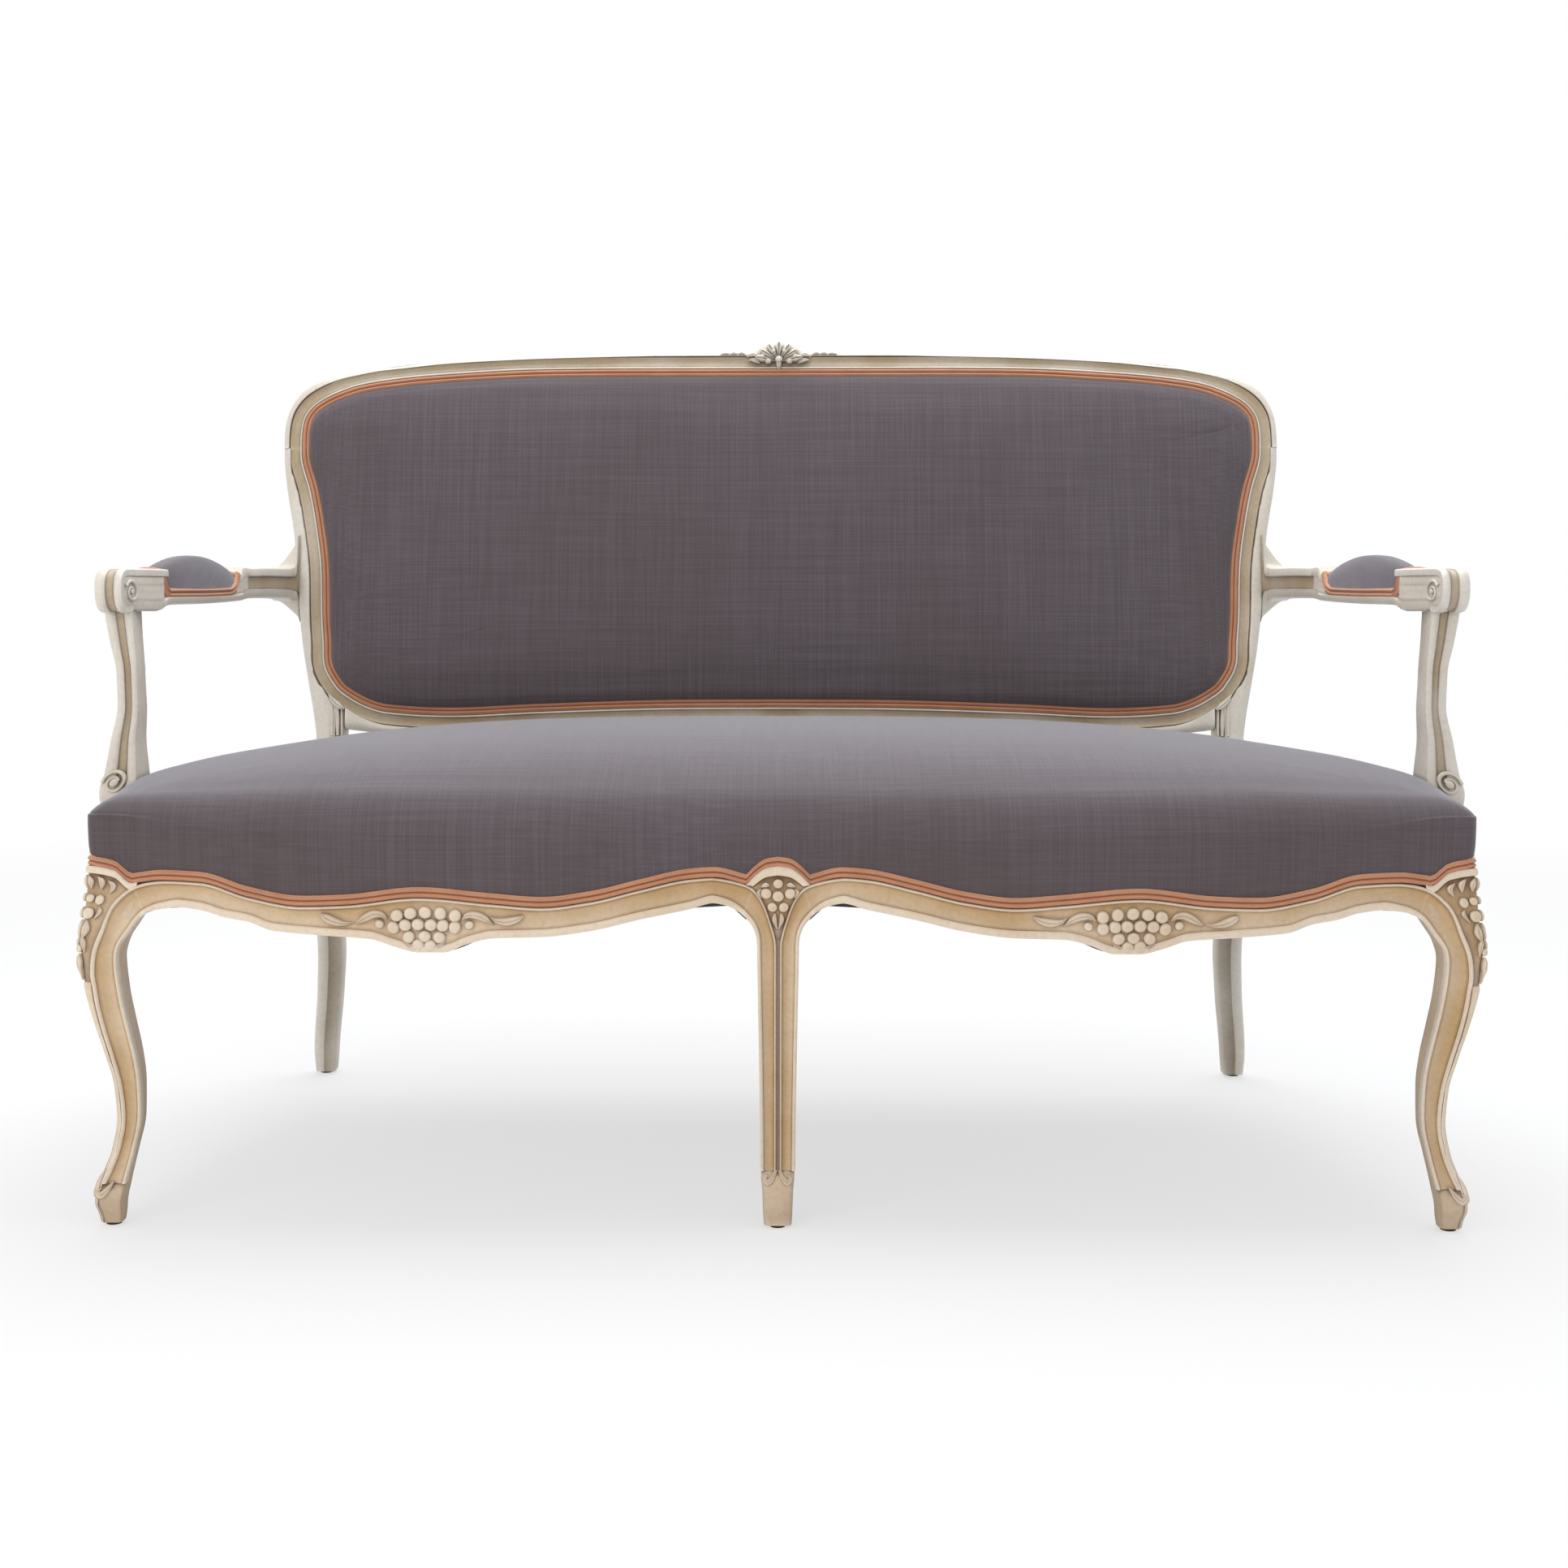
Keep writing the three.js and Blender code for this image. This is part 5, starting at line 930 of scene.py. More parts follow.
# Bottom rail of the back
# A shallow rail between the posts, just above the seat, its ends sweeping up into the lower corners.
low_outer = [[0.8618, 0.016], [0.822, 0.01], [0.778, 0.006], [0.65, 0.002], [0.48, 0], [0.24, 0.002], [0, 0.003]]
low_pairs = spline([[back_half * a, back_low + back_height * b, back_half * c, back_low + back_height * d]
                    for (a, b), (c, d) in zip(low_outer, show_rows[6::-1])], 6)
low_pairs[0][0] = low_pairs[0][2] = 544.7
shape = new_shape()
rings = [frame_ring(1, row[:2], row[2:], 0.5) for row in low_pairs]
rings += [frame_ring(-1, row[:2], row[2:], 0.5) for row in low_pairs[::-1][1:]]
skin(shape, rings)
for half in (-1, 1):
    back_moulding(shape, show_edge[:corner_index + 1], half)
piece_of("back_low_rail", shape, cool_lit_paint, ["back_bottom_rail"])

# Arms
# The open arms turn out of the stiles, are grooved behind the pads and end in a rounded knuckle. The channel of
# each support runs up over the knuckle, and a small spiral is cut on its inner cheek.
arm_low, arm_height, arm_wide, arm_front, arm_run, arm_post = 609, 38, 34, 100, 528.4, 608
arm_rows = [
    [0, 0.3, 0.72, -0.08, 0.4], [0.012, 0.16, 0.84, -0.26, 0.6], [0.04, 0.08, 0.9, -0.44, 0.7],
    [0.13, 0.02, 0.98, -0.47, 0.72], [0.175, 0, 1, -0.25, 0.72], [0.2, 0, 1, -0.23, 0.7], [0.36, 0, 1, -0.2, 0.7],
    [0.6, 0, 1, -0.1, 0.72], [0.62, 0, 1, -0.08, 0.96], [0.645, 0.04, 0.96, -0.05, 0.96], [0.675, 0.06, 0.94, -0.02, 0.94],
    [0.8, 0.06, 0.94, 0, 0.98], [0.945, 0.06, 0.95, 0, 1],
]
arm_lines = [smooth([[row[0], row[k]] for row in arm_rows]) for k in (1, 2, 3, 4)]
arm_inner = smooth([
    [0, 1.074], [0.05, 1.07], [0.17, 1.043], [0.36, 1.032], [0.54, 1.024], [0.8, 1.01], [0.94, 1.004], [1, 1],
])


def arm_at(along):
    """Inner x, outer x, low and top of the arm at a share of its run."""
    x = arm_post * arm_inner(along)
    inner, outer, low, top = (line(along) for line in arm_lines)
    return x + arm_wide * inner, x + arm_wide * outer, arm_low + arm_height * low, arm_low + arm_height * top


def arm_ring(half, inner, outer, low, top, grooved, sunk):
    """A ring of the arm between its inner and outer lines; grooved on both cheeks, or sunk for the pad."""
    faces = [(0, 4, 0.15), (0.05, 1.2, 0.1), (0.16, 0, 0.05), (0.22, 0, 0.05), (0.27, sunk, 0.3),
             (0.3, sunk + 1.3 * grooved, 0.3 + 0.7 * grooved), (0.36, sunk + 1.6 * grooved, 0.3 * grooved),
             (0.5, sunk + 2.4 * grooved, 0.1), (0.62, sunk + 1.6 * grooved, 0.3 * grooved),
             (0.68, sunk + 1.3 * grooved, 0.3 + 0.7 * grooved), (0.73, sunk, 0.1), (0.86, sunk + 0.3, 0.02),
             (0.95, sunk + 1.4, 0), (1, sunk + 4.5, 0)]
    width = math.dist(inner, outer)
    ring = []
    for flip in (False, True):
        side = []
        for level, depth, dirt in faces:
            t = depth / width
            x = lerp(outer[0], inner[0], t) if flip else lerp(inner[0], outer[0], t)
            y = lerp(outer[1], inner[1], t) if flip else lerp(inner[1], outer[1], t)
            tone = 0.9 * grooved if 0.3 < level < 0.68 else 0.1
            side.append((half * x, y, lerp(low, top, level), tone, dirt))
        ring += side[::-1] if flip else side
    return ring


strap_rows = ((0, -7, 0.3, 0.3), (0, -0.8, 0.05, 0.05), (0.07, 0.2, 0, 0), (0.16, 0.5, 0, 0), (0.26, 0, 0.05, 0.1),
              (0.3, -1, 0.3, 1), (0.34, -1.4, 0.7, 0.4), (0.44, -2.2, 0.9, 0.1), (0.54, -1.4, 0.8, 0.3),
              (0.58, -1, 0.3, 1), (0.63, 0.1, 0.05, 0.1), (0.78, 0.6, 0, 0), (0.92, 0.3, 0, 0), (1, -0.8, 0.05, 0.05),
              (1, -7, 0.3, 0.3))
knuckle_path = outward([(row[0], row[1]) for row in spline([
    [131, 593.6, 0, 0], [123, 592, 0, 0], [113, 593.4, 0, 0], [104.6, 599, 0, 0], [100.4, 608, 0, 0],
    [100.2, 618, 0, 0], [103.4, 627.6, 0, 0], [110.4, 633.6, 0, 0], [121, 636, 0, 0], [140, 636.4, 0, 0],
    [165, 636.6, 0, 0], [190, 636.4, 0, 0]], 3)])
for name, half in (("left", -1), ("right", 1)):
    shape = new_shape()
    rings = []
    for k in range(110):
        along = lerp(0.004, 0.945, (k / 109) ** 1.15)
        inner, outer, low, top = arm_at(along)
        y = arm_front + arm_run * along
        hidden = 3.4 * (1 - ease(along, 0.14, 0.158))
        grooved = ease(along, 0.642, 0.664)
        sunk = 4.4 * ease(along, 0.15, 0.16) * (1 - ease(along, 0.592, 0.608))
        rings.append(arm_ring(half, (inner, y + hidden), (outer, y + hidden), low + hidden * 0.7, top - hidden,
                              grooved, sunk))
    turn_rows = [[inner_x, inner_y, outer_x, outer_y, low, top] for inner_x, inner_y, outer_x, outer_y, low, top in (
        (0.06, -0.9, 0.97, -0.7, 0, 0), (0.1, -0.36, 1, -0.09, 0.06, 0.05), (0.04, -0.09, 0.8, 0.64, 0.14, 0.17),
        (0, 0, 0, 1, 0.7, 1))]
    for inner_x, inner_y, outer_x, outer_y, low, top in spline(turn_rows, 0.12)[2:]:
        rings.append(arm_ring(
            half, (608.3 + 34 * inner_x, 632.2 + 28 * inner_y), (608.3 + 34 * outer_x, 632.2 + 28 * outer_y),
            arm_low - 42 * low, arm_low + arm_height + 42 * top, 1, 0))
    skin(shape, rings)
    rings = []
    for y, z, out_y, out_z in knuckle_path:
        inner, outer, _, _ = arm_at(max((y - arm_front) / arm_run, 0.035))
        ring = []
        for t, lift, tone, dirt in strap_rows:
            ring.append((half * lerp(inner + 0.4, outer - 0.4, t), y - out_y * lift, z - out_z * lift, tone, dirt))
        rings.append(ring)
    skin(shape, rings)

    def cheek_place(y, z, lift):
        """A place on the arm's inner cheek."""
        return arm_at((y - arm_front) / arm_run)[0] - lift, y, z

    spiral = []
    for k in range(15):
        turn = math.radians(150 - k * 36)
        radius = lerp(12, 3, k / 14)
        spiral.append((127 + radius * math.cos(turn), 613 + radius * math.sin(turn), lerp(1.8, 1.3, k / 14)))
    leaf(shape, cheek_place, half, spiral, 1.8, 0)
    berry(shape, cheek_place, half, 127, 613, 2.8, 2)
    piece_of("arm_rest_" + name, shape, cool_lit_paint, ["arm_" + name])

# Arm supports
# Each support is an S of beech, let into the side rail and screwed from inside, and pegged up into the arm. A
# channel between two rolls runs down its face and curls round a volute at the foot.
support_rows = [
    [0, 0.9935, 0.6, 0.68, 0], [0.06, 0.9965, 0.6, 0.68, 0], [0.27, 0.9993, 0.48, 0.68, 0], [0.38, 1, 1, 1.1, 0],
    [0.45, 0.9928, 0.86, 1, 0], [0.56, 0.984, 0.68, 0.84, 0.02], [0.69, 0.9725, 0.55, 0.72, 0.06],
    [0.8, 0.9732, 0.56, 0.68, 0.08], [0.9, 0.9812, 0.66, 0.7, 0.06], [1, 0.9883, 0.74, 0.76, 0.02],
]
support_lines = [smooth([[row[0], row[k]] for row in support_rows]) for k in (1, 2, 3, 4)]
support_y, support_foot, support_height = 150, 298, 292.8


def support_at(z):
    """Inner x, outer x, front y and back y of the support at a height."""
    outer, wide, deep, forward = (line((z - support_foot) / support_height) for line in support_lines)
    inner = 671.8 if z < 380 else outer * 690.5 - 37 * wide
    middle = support_y - 50 * forward
    return inner, outer * 690.5, middle - 25 * deep, middle + 25 * deep


for name, half in (("left", -1), ("right", 1)):
    shape = new_shape()
    rings = []
    for k in range(110):
        z = lerp(support_foot, support_foot + support_height + 2.6, k / 109)
        inner, outer, front, back = support_at(z)
        fade = ease(z, 404, 432)
        ring = []
        for t, lift, tone, dirt in strap_rows[1:-1]:
            ring.append((half * lerp(inner, outer, t), front + (0.8 - lift) * 1.0 * lerp(0.2, 1, fade), z,
                         tone * fade, dirt * fade))
        ring += [(half * outer, back - 5, z, 0.1, 0.05), (half * (outer - 1.5), back - 1.5, z, 0.1, 0.05),
                 (half * (outer - 5), back, z, 0.15, 0.1), (half * (inner + 5), back, z, 0.2, 0.15),
                 (half * (inner + 1.5), back - 1.5, z, 0.2, 0.15), (half * inner, back - 5, z, 0.3, 0.2)]
        rings.append(ring)
    skin(shape, rings)

    def support_place(u, z, lift):
        """A place on the support's face: u is the distance from its outer edge."""
        _, outer, front, _ = support_at(z)
        return outer - u, front - lift, z

    spiral = []
    for k in range(17):
        turn = math.radians(180 - k * 32)
        radius = lerp(12.6, 4.4, k / 16)
        spiral.append((13.4 - radius * math.cos(turn) * -1, 420 + radius * math.sin(turn), lerp(2.2, 1.5, k / 16)))
    leaf(shape, support_place, half, spiral, 2.2, 0)
    berry(shape, support_place, half, 13.4, 420, 4.6, 2.8)
    piece_of("arm_stay_" + name, shape, cool_lit_paint, ["arm_support_" + name])

# Inner frame
# The rear rail, the centre rail and the glued corner blocks are plain planed beech, never painted.
def dress(material, *nodes):
    """Gives CAD nodes that stay in view their finished material."""
    for node in nodes:
        for place in bpy.data.objects[node].material_slots:
            place.material = material


beech, tree, shader = new_material("planed beech", 0.55)
where = put(tree, "ShaderNodeTexCoord").outputs["Object"]
stretched = put(tree, "ShaderNodeMapping", {"Vector": where, "Scale": (3, 60, 60)}).outputs[0]
grain = put(tree, "ShaderNodeTexNoise", {"Vector": stretched, "Scale": 3, "Detail": 6, "Distortion": 0.6}).outputs[0]
pores = put(tree, "ShaderNodeTexNoise", {"Vector": stretched, "Scale": 26, "Detail": 2}).outputs[0]
wood = tint(tree, ramp(tree, grain, 0.35, 0.65), colour(196, 152, 104), colour(222, 184, 138))
wood = tint(tree, ramp(tree, pores, 0.6, 0.7, 0.0, 0.5), wood, colour(140, 98, 62))
tree.links.new(wood, shader.inputs["Base Color"])
bump = put(tree, "ShaderNodeBump", {"Height": pores, "Strength": 0.3, "Distance": 0.0004})
tree.links.new(bump.outputs[0], shader.inputs["Normal"])
dress(beech, "rear_rail", "centre_rail", "corner_block_front_left", "corner_block_front_right",
      "corner_block_rear_left", "corner_block_rear_right")

# Glides and screws
# A dark felt pad is nailed under each foot. A steel screw holds each arm support from inside the side rail.
felt, tree, shader = new_material("dark felt", 0.95)
where = put(tree, "ShaderNodeTexCoord").outputs["Object"]
fuzz = put(tree, "ShaderNodeTexNoise", {"Vector": where, "Scale": 900, "Detail": 3}).outputs[0]
tree.links.new(tint(tree, fuzz, colour(52, 34, 26), colour(92, 64, 48)), shader.inputs["Base Color"])
bump = put(tree, "ShaderNodeBump", {"Height": fuzz, "Strength": 0.6, "Distance": 0.0005})
tree.links.new(bump.outputs[0], shader.inputs["Normal"])
dress(felt, "glide_front_left", "glide_front_centre", "glide_front_right", "glide_rear_left", "glide_rear_right")

steel, tree, shader = new_material("oiled steel", 0.4, Metallic=1.0)
where = put(tree, "ShaderNodeTexCoord").outputs["Object"]
drawn = put(tree, "ShaderNodeTexNoise", {"Vector": where, "Scale": 140, "Detail": 4}).outputs[0]
tree.links.new(tint(tree, drawn, colour(120, 112, 104), colour(176, 172, 166)), shader.inputs["Base Color"])
tree.links.new(ramp(tree, drawn, 0.3, 0.7, 0.3, 0.55), shader.inputs["Roughness"])
dress(steel, "support_screw_left", "support_screw_right", *("seat_spring_%d" % (k + 1) for k in range(8)))

# Jute
# Woven jute webbing carries the springs, and hessian lies over them and behind the back's stuffing.
weave_group = bpy.data.node_groups.new("plain weave", "ShaderNodeTree")
weave_group.interface.new_socket("Threads", in_out="INPUT", socket_type="NodeSocketFloat")
for name in ("Thread", "Slub", "Height"):
    weave_group.interface.new_socket(name, in_out="OUTPUT", socket_type="NodeSocketFloat")
given = put(weave_group, "NodeGroupInput")
where = put(weave_group, "ShaderNodeTexCoord").outputs["Object"]
axes = put(weave_group, "ShaderNodeSeparateXYZ", {0: where})
drift = put(weave_group, "ShaderNodeTexNoise", {"Vector": where, "Scale": 26, "Detail": 2}).outputs[0]
turn = sums(weave_group, "MULTIPLY", given.outputs["Threads"], math.tau)
climb = sums(weave_group, "ADD", axes.outputs[1], axes.outputs[2])
waves = []
for axis in (axes.outputs[0], climb):
    moved = sums(weave_group, "ADD", axis, sums(weave_group, "MULTIPLY", drift, 0.002))
    waves.append(sums(weave_group, "SINE", sums(weave_group, "MULTIPLY", moved, turn)))
thread = sums(weave_group, "MULTIPLY", waves[0], waves[1])
slubs = []
for scale in ((7, 420, 420), (520, 9, 9)):
    run = put(weave_group, "ShaderNodeMapping", {"Vector": where, "Scale": scale}).outputs[0]
    slubs.append(put(weave_group, "ShaderNodeTexNoise", {"Vector": run, "Scale": 1.0, "Detail": 3}).outputs[0])
slub = sums(weave_group, "ADD", ramp(weave_group, slubs[0], 0.3, 0.7), ramp(weave_group, slubs[1], 0.35, 0.7))
slub = sums(weave_group, "MULTIPLY", slub, 0.5)
put(weave_group, "NodeGroupOutput", {
    "Thread": ramp(weave_group, thread, -1.0, 1.0), "Slub": slub,
    "Height": sums(weave_group, "ADD", sums(weave_group, "MULTIPLY", thread, 0.3), slub),
})


def woven(name, threads, dark, light, roughness, depth, **settings):
    """A woven cloth: its threads to the metre, its two colours and the depth of its weave."""
    material, tree, shader = new_material(name, roughness, **settings)
    weave = put(tree, "ShaderNodeGroup", node_tree=weave_group)
    weave.inputs["Threads"].default_value = threads
    where = put(tree, "ShaderNodeTexCoord").outputs["Object"]
    cloud = put(tree, "ShaderNodeTexNoise", {"Vector": where, "Scale": 3.2, "Detail": 3}).outputs[0]
    cloth = tint(tree, ramp(tree, weave.outputs["Slub"], 0.25, 0.8), dark, light)
    cloth = tint(tree, 1.0, cloth, ramp(tree, weave.outputs["Thread"], 0.0, 1.0, 0.93, 1.05), "MULTIPLY")
    bump = put(tree, "ShaderNodeBump", {"Height": weave.outputs["Height"], "Strength": 0.5, "Distance": depth})
    tree.links.new(bump.outputs[0], shader.inputs["Normal"])
    return material, tree, shader, cloth, cloud


jute, tree, shader, cloth, cloud = woven("jute", 420, colour(146, 116, 74), colour(196, 168, 120), 0.9, 0.0008)
tree.links.new(cloth, shader.inputs["Base Color"])
dress(jute, "seat_hessian", "back_hessian")


def strap_ring(x, y, step, number, wide):
    """A section of a webbing strap, passing over and under the straps that cross it."""
    low = max(rail_z(front_low(rail_share(max(abs(x) + shift, 32)))) for shift in (-25, 0, 25))
    side = max(rail_z(side_low(min(max((y + shift - cheek_y) / 525, 0), 1))) for shift in (-25, 0, 25))
    inside = side_face(y) - rail_thickness - abs(x)
    z = max(301.6, lerp(low + 2, 301.6, ease(y, 29, 160)), lerp(side + 2, 301.6, ease(inside, 0, 130)))
    z += number * math.sin(math.pi * step)
    across = (25, 0) if wide else (0, 25)
    return [(x + a * across[0], y + a * across[1], z + up, 0, 0) for a, up in ((-1, 0), (1, 0), (1, 1.6), (-1, 1.6))]


shape = new_shape()
for i, place in enumerate((-460, -305, -150, 150, 305, 460)):
    start = front_place(abs(place), 345, 0)[1] + rail_thickness
    skin(shape, [strap_ring(place, lerp(start, 586, k / 48), (lerp(start, 586, k / 48) - 80) / 140, (-1) ** i, True)
                 for k in range(49)])
for i, place in enumerate((150, 290, 430)):
    end = min(side_face(place - 25), side_face(place + 25)) - rail_thickness - 1
    skin(shape, [strap_ring(lerp(-end, end, k / 96), place, (lerp(-end, end, k / 96) - 72.5) / 155, (-1) ** i, False)
                 for k in range(97)])
piece_of("web_straps", shape, jute, ["seat_webbing"])

# Seat
# Sprung and stuffed with hair, drawn tight in grey-purple linen: upright at the serpentine front, rounded at the
# edge and crowned in the middle. The linen is tacked in the rails' rebate and cut round the rear posts.
linen, tree, shader, cloth, cloud = woven(
    "grey purple linen", 900, colour(86, 77, 81), colour(99, 90, 95), 0.86, 0.0003,
    Sheen_Weight=0.68, Sheen_Roughness=0.4, Sheen_Tint=(0.88, 0.9, 0.98, 1))
axes = put(tree, "ShaderNodeSeparateXYZ", {0: put(tree, "ShaderNodeTexCoord").outputs["Object"]})
# Warm dark patches on the linen, full strength below 0.36 m and half strength above 0.5 m. The patchy change is the
# linen's own. The stronger darkening low down, on the seat's front, is painted shade.
patches_and_low_shade = ramp(tree, cloud, 0.35, 0.7, 0.0, 0.55)
patches_and_low_shade = sums(tree, "MULTIPLY", patches_and_low_shade, ramp(tree, axes.outputs[2], 0.36, 0.5, 1.0, 0.5))
cloth = tint(tree, patches_and_low_shade, cloth, colour(76, 63, 61))
tree.links.new(cloth, shader.inputs["Base Color"])

rear_line = 604.5
seat_crown, seat_edge = 474, 416
seat_middle_y, seat_half_depth, head_outer = 298.25, 306.25, 659.5


def seat_loop():
    """Places round half the seat, front to rear: x, y, outward x and y, and the upholstery line."""
    places = [(x, front_place(x, 345, 0)[1], 0, -1, rail_z(centre_arch(x / centre_half))) for x in range(0, 30, 3)]
    for k in range(84):
        t = k / 83
        x = lerp(centre_half, cheek_x, t)
        places.append((x, front_place(x, 345, 0)[1], 0, -1, rail_z(front_line(t))))
    for k in range(1, 9):
        t = k / 8 * 0.8
        places.append((cheek_x + 49 * t, -8, 0, -1, rail_z(corner_arch(t))))
    for k in range(1, 8):
        turn = math.radians(90 * k / 8)
        out = (math.sin(turn), -math.cos(turn))
        places.append((head_outer - 9.8 + 9.8 * out[0], 1.8 + 9.8 * out[1], *out, rail_z(corner_arch(1))))
    for k in range(9):
        t = (8 - k) / 8 * 0.8
        places.append((head_outer, cheek_y - 49 * t, 1, 0, rail_z(corner_arch(t))))
    for k in range(1, 70):
        y = lerp(cheek_y, post_front - 1, k / 69)
        places.append((side_face(y), y, 1, 0, rail_z(side_line((y - cheek_y) / 525))))
    for k in range(1, 5):
        places.append((lerp(584, 551, k / 4), post_front - 1, 0, 1, 342))
    for k in range(1, 6):
        places.append((551, lerp(post_front - 1, rear_line, k / 5), 0, 1 if k == 5 else 0, 342))
    for k in range(1, 70):
        places.append((lerp(551, 0, k / 69), rear_line, 0, 1, 342))
    return places


half_loop = seat_loop()
full_loop = half_loop + [(-x, y, -out_x, out_y, line) for x, y, out_x, out_y, line in half_loop[1:-1][::-1]]


def seat_dip(x, out_y):
    """How much lower the rounded edge lies over the middle of the front."""
    return 14 * (1 - ease(abs(x), 60, 560)) if out_y < 0 else 0


def wall_ring(inset, rise, drop=1.0):
    """A ring of the seat's upright wall: rise is the share from the upholstery line to the edge."""
    return [(x - out_x * inset, y - out_y * inset, lerp(line, seat_edge - drop * seat_dip(x, out_y), rise))
            for x, y, out_x, out_y, line in full_loop]


def dome_ring(inward):
    """A ring of the seat's crown, a distance inside the wall; it shrinks and rounds off towards the middle."""
    ring = []
    near = inward / seat_half_depth
    for x, y, out_x, out_y, _ in full_loop:
        share_y = 1 - near
        share_x = lerp(1 - inward / head_outer, share_y, near ** 1.5)
        turn = math.atan2((y - seat_middle_y) / seat_half_depth, x / head_outer)
        soft = ease(near, 0.25, 1)
        x = lerp(x, head_outer * math.cos(turn), soft) * share_x
        y = seat_middle_y + lerp(y - seat_middle_y, seat_half_depth * math.sin(turn), soft) * share_y
        reach = seat_middle_y - front_place(min(abs(x), cheek_x), 345, 0)[1] if y < seat_middle_y else 306.5
        half_width = side_face(min(max(y, cheek_y), post_front))
        across, along = min(abs(x) / half_width / 1.004, 1), min(abs(y - seat_middle_y) / reach / 1.01, 1)
        swell = (1 - across ** 2.8) ** 0.6 * (1 - along ** 2.4) ** 0.66
        side = ease(abs(x), 520, 650)
        low = seat_edge - 12 + 8 * side - seat_dip(x, -1) * (1 - ease(y, -20, 330))
        rounding = lerp(27, 17, side) * (1 - math.sqrt(1 - (1 - min(inward / 32, 1)) ** 2))
        ring.append((x, y, lerp(low, seat_crown, swell) - rounding))
    return ring


def between(rings, steps):
    """Fills in rings along smooth lines between the given ones."""
    columns = []
    for points in zip(*rings):
        column = []
        for i in range(len(points) - 1):
            a, b, c, d = (points[min(max(j, 0), len(points) - 1)] for j in (i - 1, i, i + 1, i + 2))
            for j in range(steps):
                t = j / steps
                column.append(tuple(
                    0.5 * (2 * q + (r - p) * t + (2 * p - 5 * q + 4 * r - s) * t * t + (3 * q - p - 3 * r + s) * t ** 3)
                    for p, q, r, s in zip(a, b, c, d)))
        columns.append(column + [points[-1]])
    return [list(ring) for ring in zip(*columns)]


def plump(rings, held_rings, cap):
    """Swells a pad's rings as a short cloth simulation on a coarse net moves them, none further than the cap."""
    if not cap:
        return rings
    count = len(rings[0])
    rows = sorted({*range(held_rings, len(rings), 3), len(rings) - 1})
    columns = list(range(0, count, 8))
    net = bpy.data.meshes.new("net")
    points = [Vector(rings[r][c]) / 1000 for r in rows for c in columns]
    wide = len(columns)
    faces = [(r * wide + c, r * wide + (c + 1) % wide, (r + 1) * wide + (c + 1) % wide, (r + 1) * wide + c)
             for r in range(len(rows) - 1) for c in range(wide)]
    faces.append([(len(rows) - 1) * wide + c for c in range(wide)])
    net.from_pydata(points, [], faces)
    piece = bpy.data.objects.new("net", net)
    bpy.context.scene.collection.objects.link(piece)
    group = piece.vertex_groups.new(name="held")
    group.add(list(range(wide)), 1.0, "REPLACE")
    cloth = piece.modifiers.new("cloth", "CLOTH")
    cloth.settings.quality = 5
    cloth.settings.mass = 0.3
    cloth.settings.tension_stiffness = 12
    cloth.settings.compression_stiffness = 12
    cloth.settings.bending_stiffness = 2
    cloth.settings.use_pressure = True
    cloth.settings.uniform_pressure_force = 4
    cloth.settings.vertex_group_mass = "held"
    cloth.settings.effector_weights.gravity = 0
    cloth.point_cache.frame_start = 1
    cloth.point_cache.frame_end = 20
    for number in range(1, 21):
        bpy.context.scene.frame_set(number)
    moved = piece.evaluated_get(bpy.context.evaluated_depsgraph_get()).data
    steps = []
    for old, point in zip(points, moved.vertices):
        step = (point.co - old) * 1000
        steps.append(step * (cap / (cap + step.length)))
    bpy.data.objects.remove(piece)
    bpy.context.scene.frame_set(1)
    swollen = [list(ring) for ring in rings[:held_rings]]
    for r in range(held_rings, len(rings)):
        row = max(k for k in range(len(rows)) if rows[k] <= r)
        below = min(row + 1, len(rows) - 1)
        down = (r - rows[row]) / max(rows[below] - rows[row], 1)
        ring = []
        for c, place in enumerate(rings[r]):
            column = c // 8
            after = (column + 1) % wide
            across = (c - column * 8) / ((columns[after] or count) - column * 8)
            near = steps[row * wide + column].lerp(steps[row * wide + after], across)
            far = steps[below * wide + column].lerp(steps[below * wide + after], across)
            ring.append(tuple(Vector(place) + near.lerp(far, down)))
        swollen.append(ring)
    return swollen


def pad_of(name, rings, material, nodes, held_rings, cap):
    shape = new_shape()
    skin(shape, [[(*point, 0, 0) for point in ring] for ring in plump(rings, held_rings, cap)])
    piece = piece_of(name, shape, material, nodes, 50)
    return piece


seat_rings = [wall_ring(8, 0.02), wall_ring(4.4, 0.05)]
seat_rings += between([
    wall_ring(3.2, 0.1), wall_ring(1.4, 0.22), wall_ring(0.5, 0.36), dome_ring(0.3), dome_ring(1.6), dome_ring(4.5),
    dome_ring(10), dome_ring(16), dome_ring(25), dome_ring(40), dome_ring(66), dome_ring(100), dome_ring(140), dome_ring(185), dome_ring(230),
    dome_ring(270), dome_ring(298),
], 3)
seat = pad_of("seat_cushion", seat_rings, linen, ["seat_cover", "seat_stuffing"], 29, 3)

# Gimp round the seat
# A woven braid of two copper cords is glued over the tacked edge of the linen, close above the show wood.
gimp, tree, shader = new_material("copper gimp", 0.62, Sheen_Weight=0.3, Sheen_Tint=(1.0, 0.8, 0.66, 1))
along = put(tree, "ShaderNodeAttribute", attribute_name="along").outputs["Fac"]
across = put(tree, "ShaderNodeAttribute", attribute_name="across").outputs["Fac"]
# The braid's colour carries painted light. Each twist is lighter on its crest and darker between, as painted highlight
# and shade. The wear patches are the braid's own.
lay = sums(tree, "SINE", sums(tree, "ADD", sums(tree, "MULTIPLY", along, 3.0), sums(tree, "MULTIPLY", across, 2.0)))
middle = sums(tree, "ABSOLUTE", sums(tree, "SUBTRACT", across, 4.8))
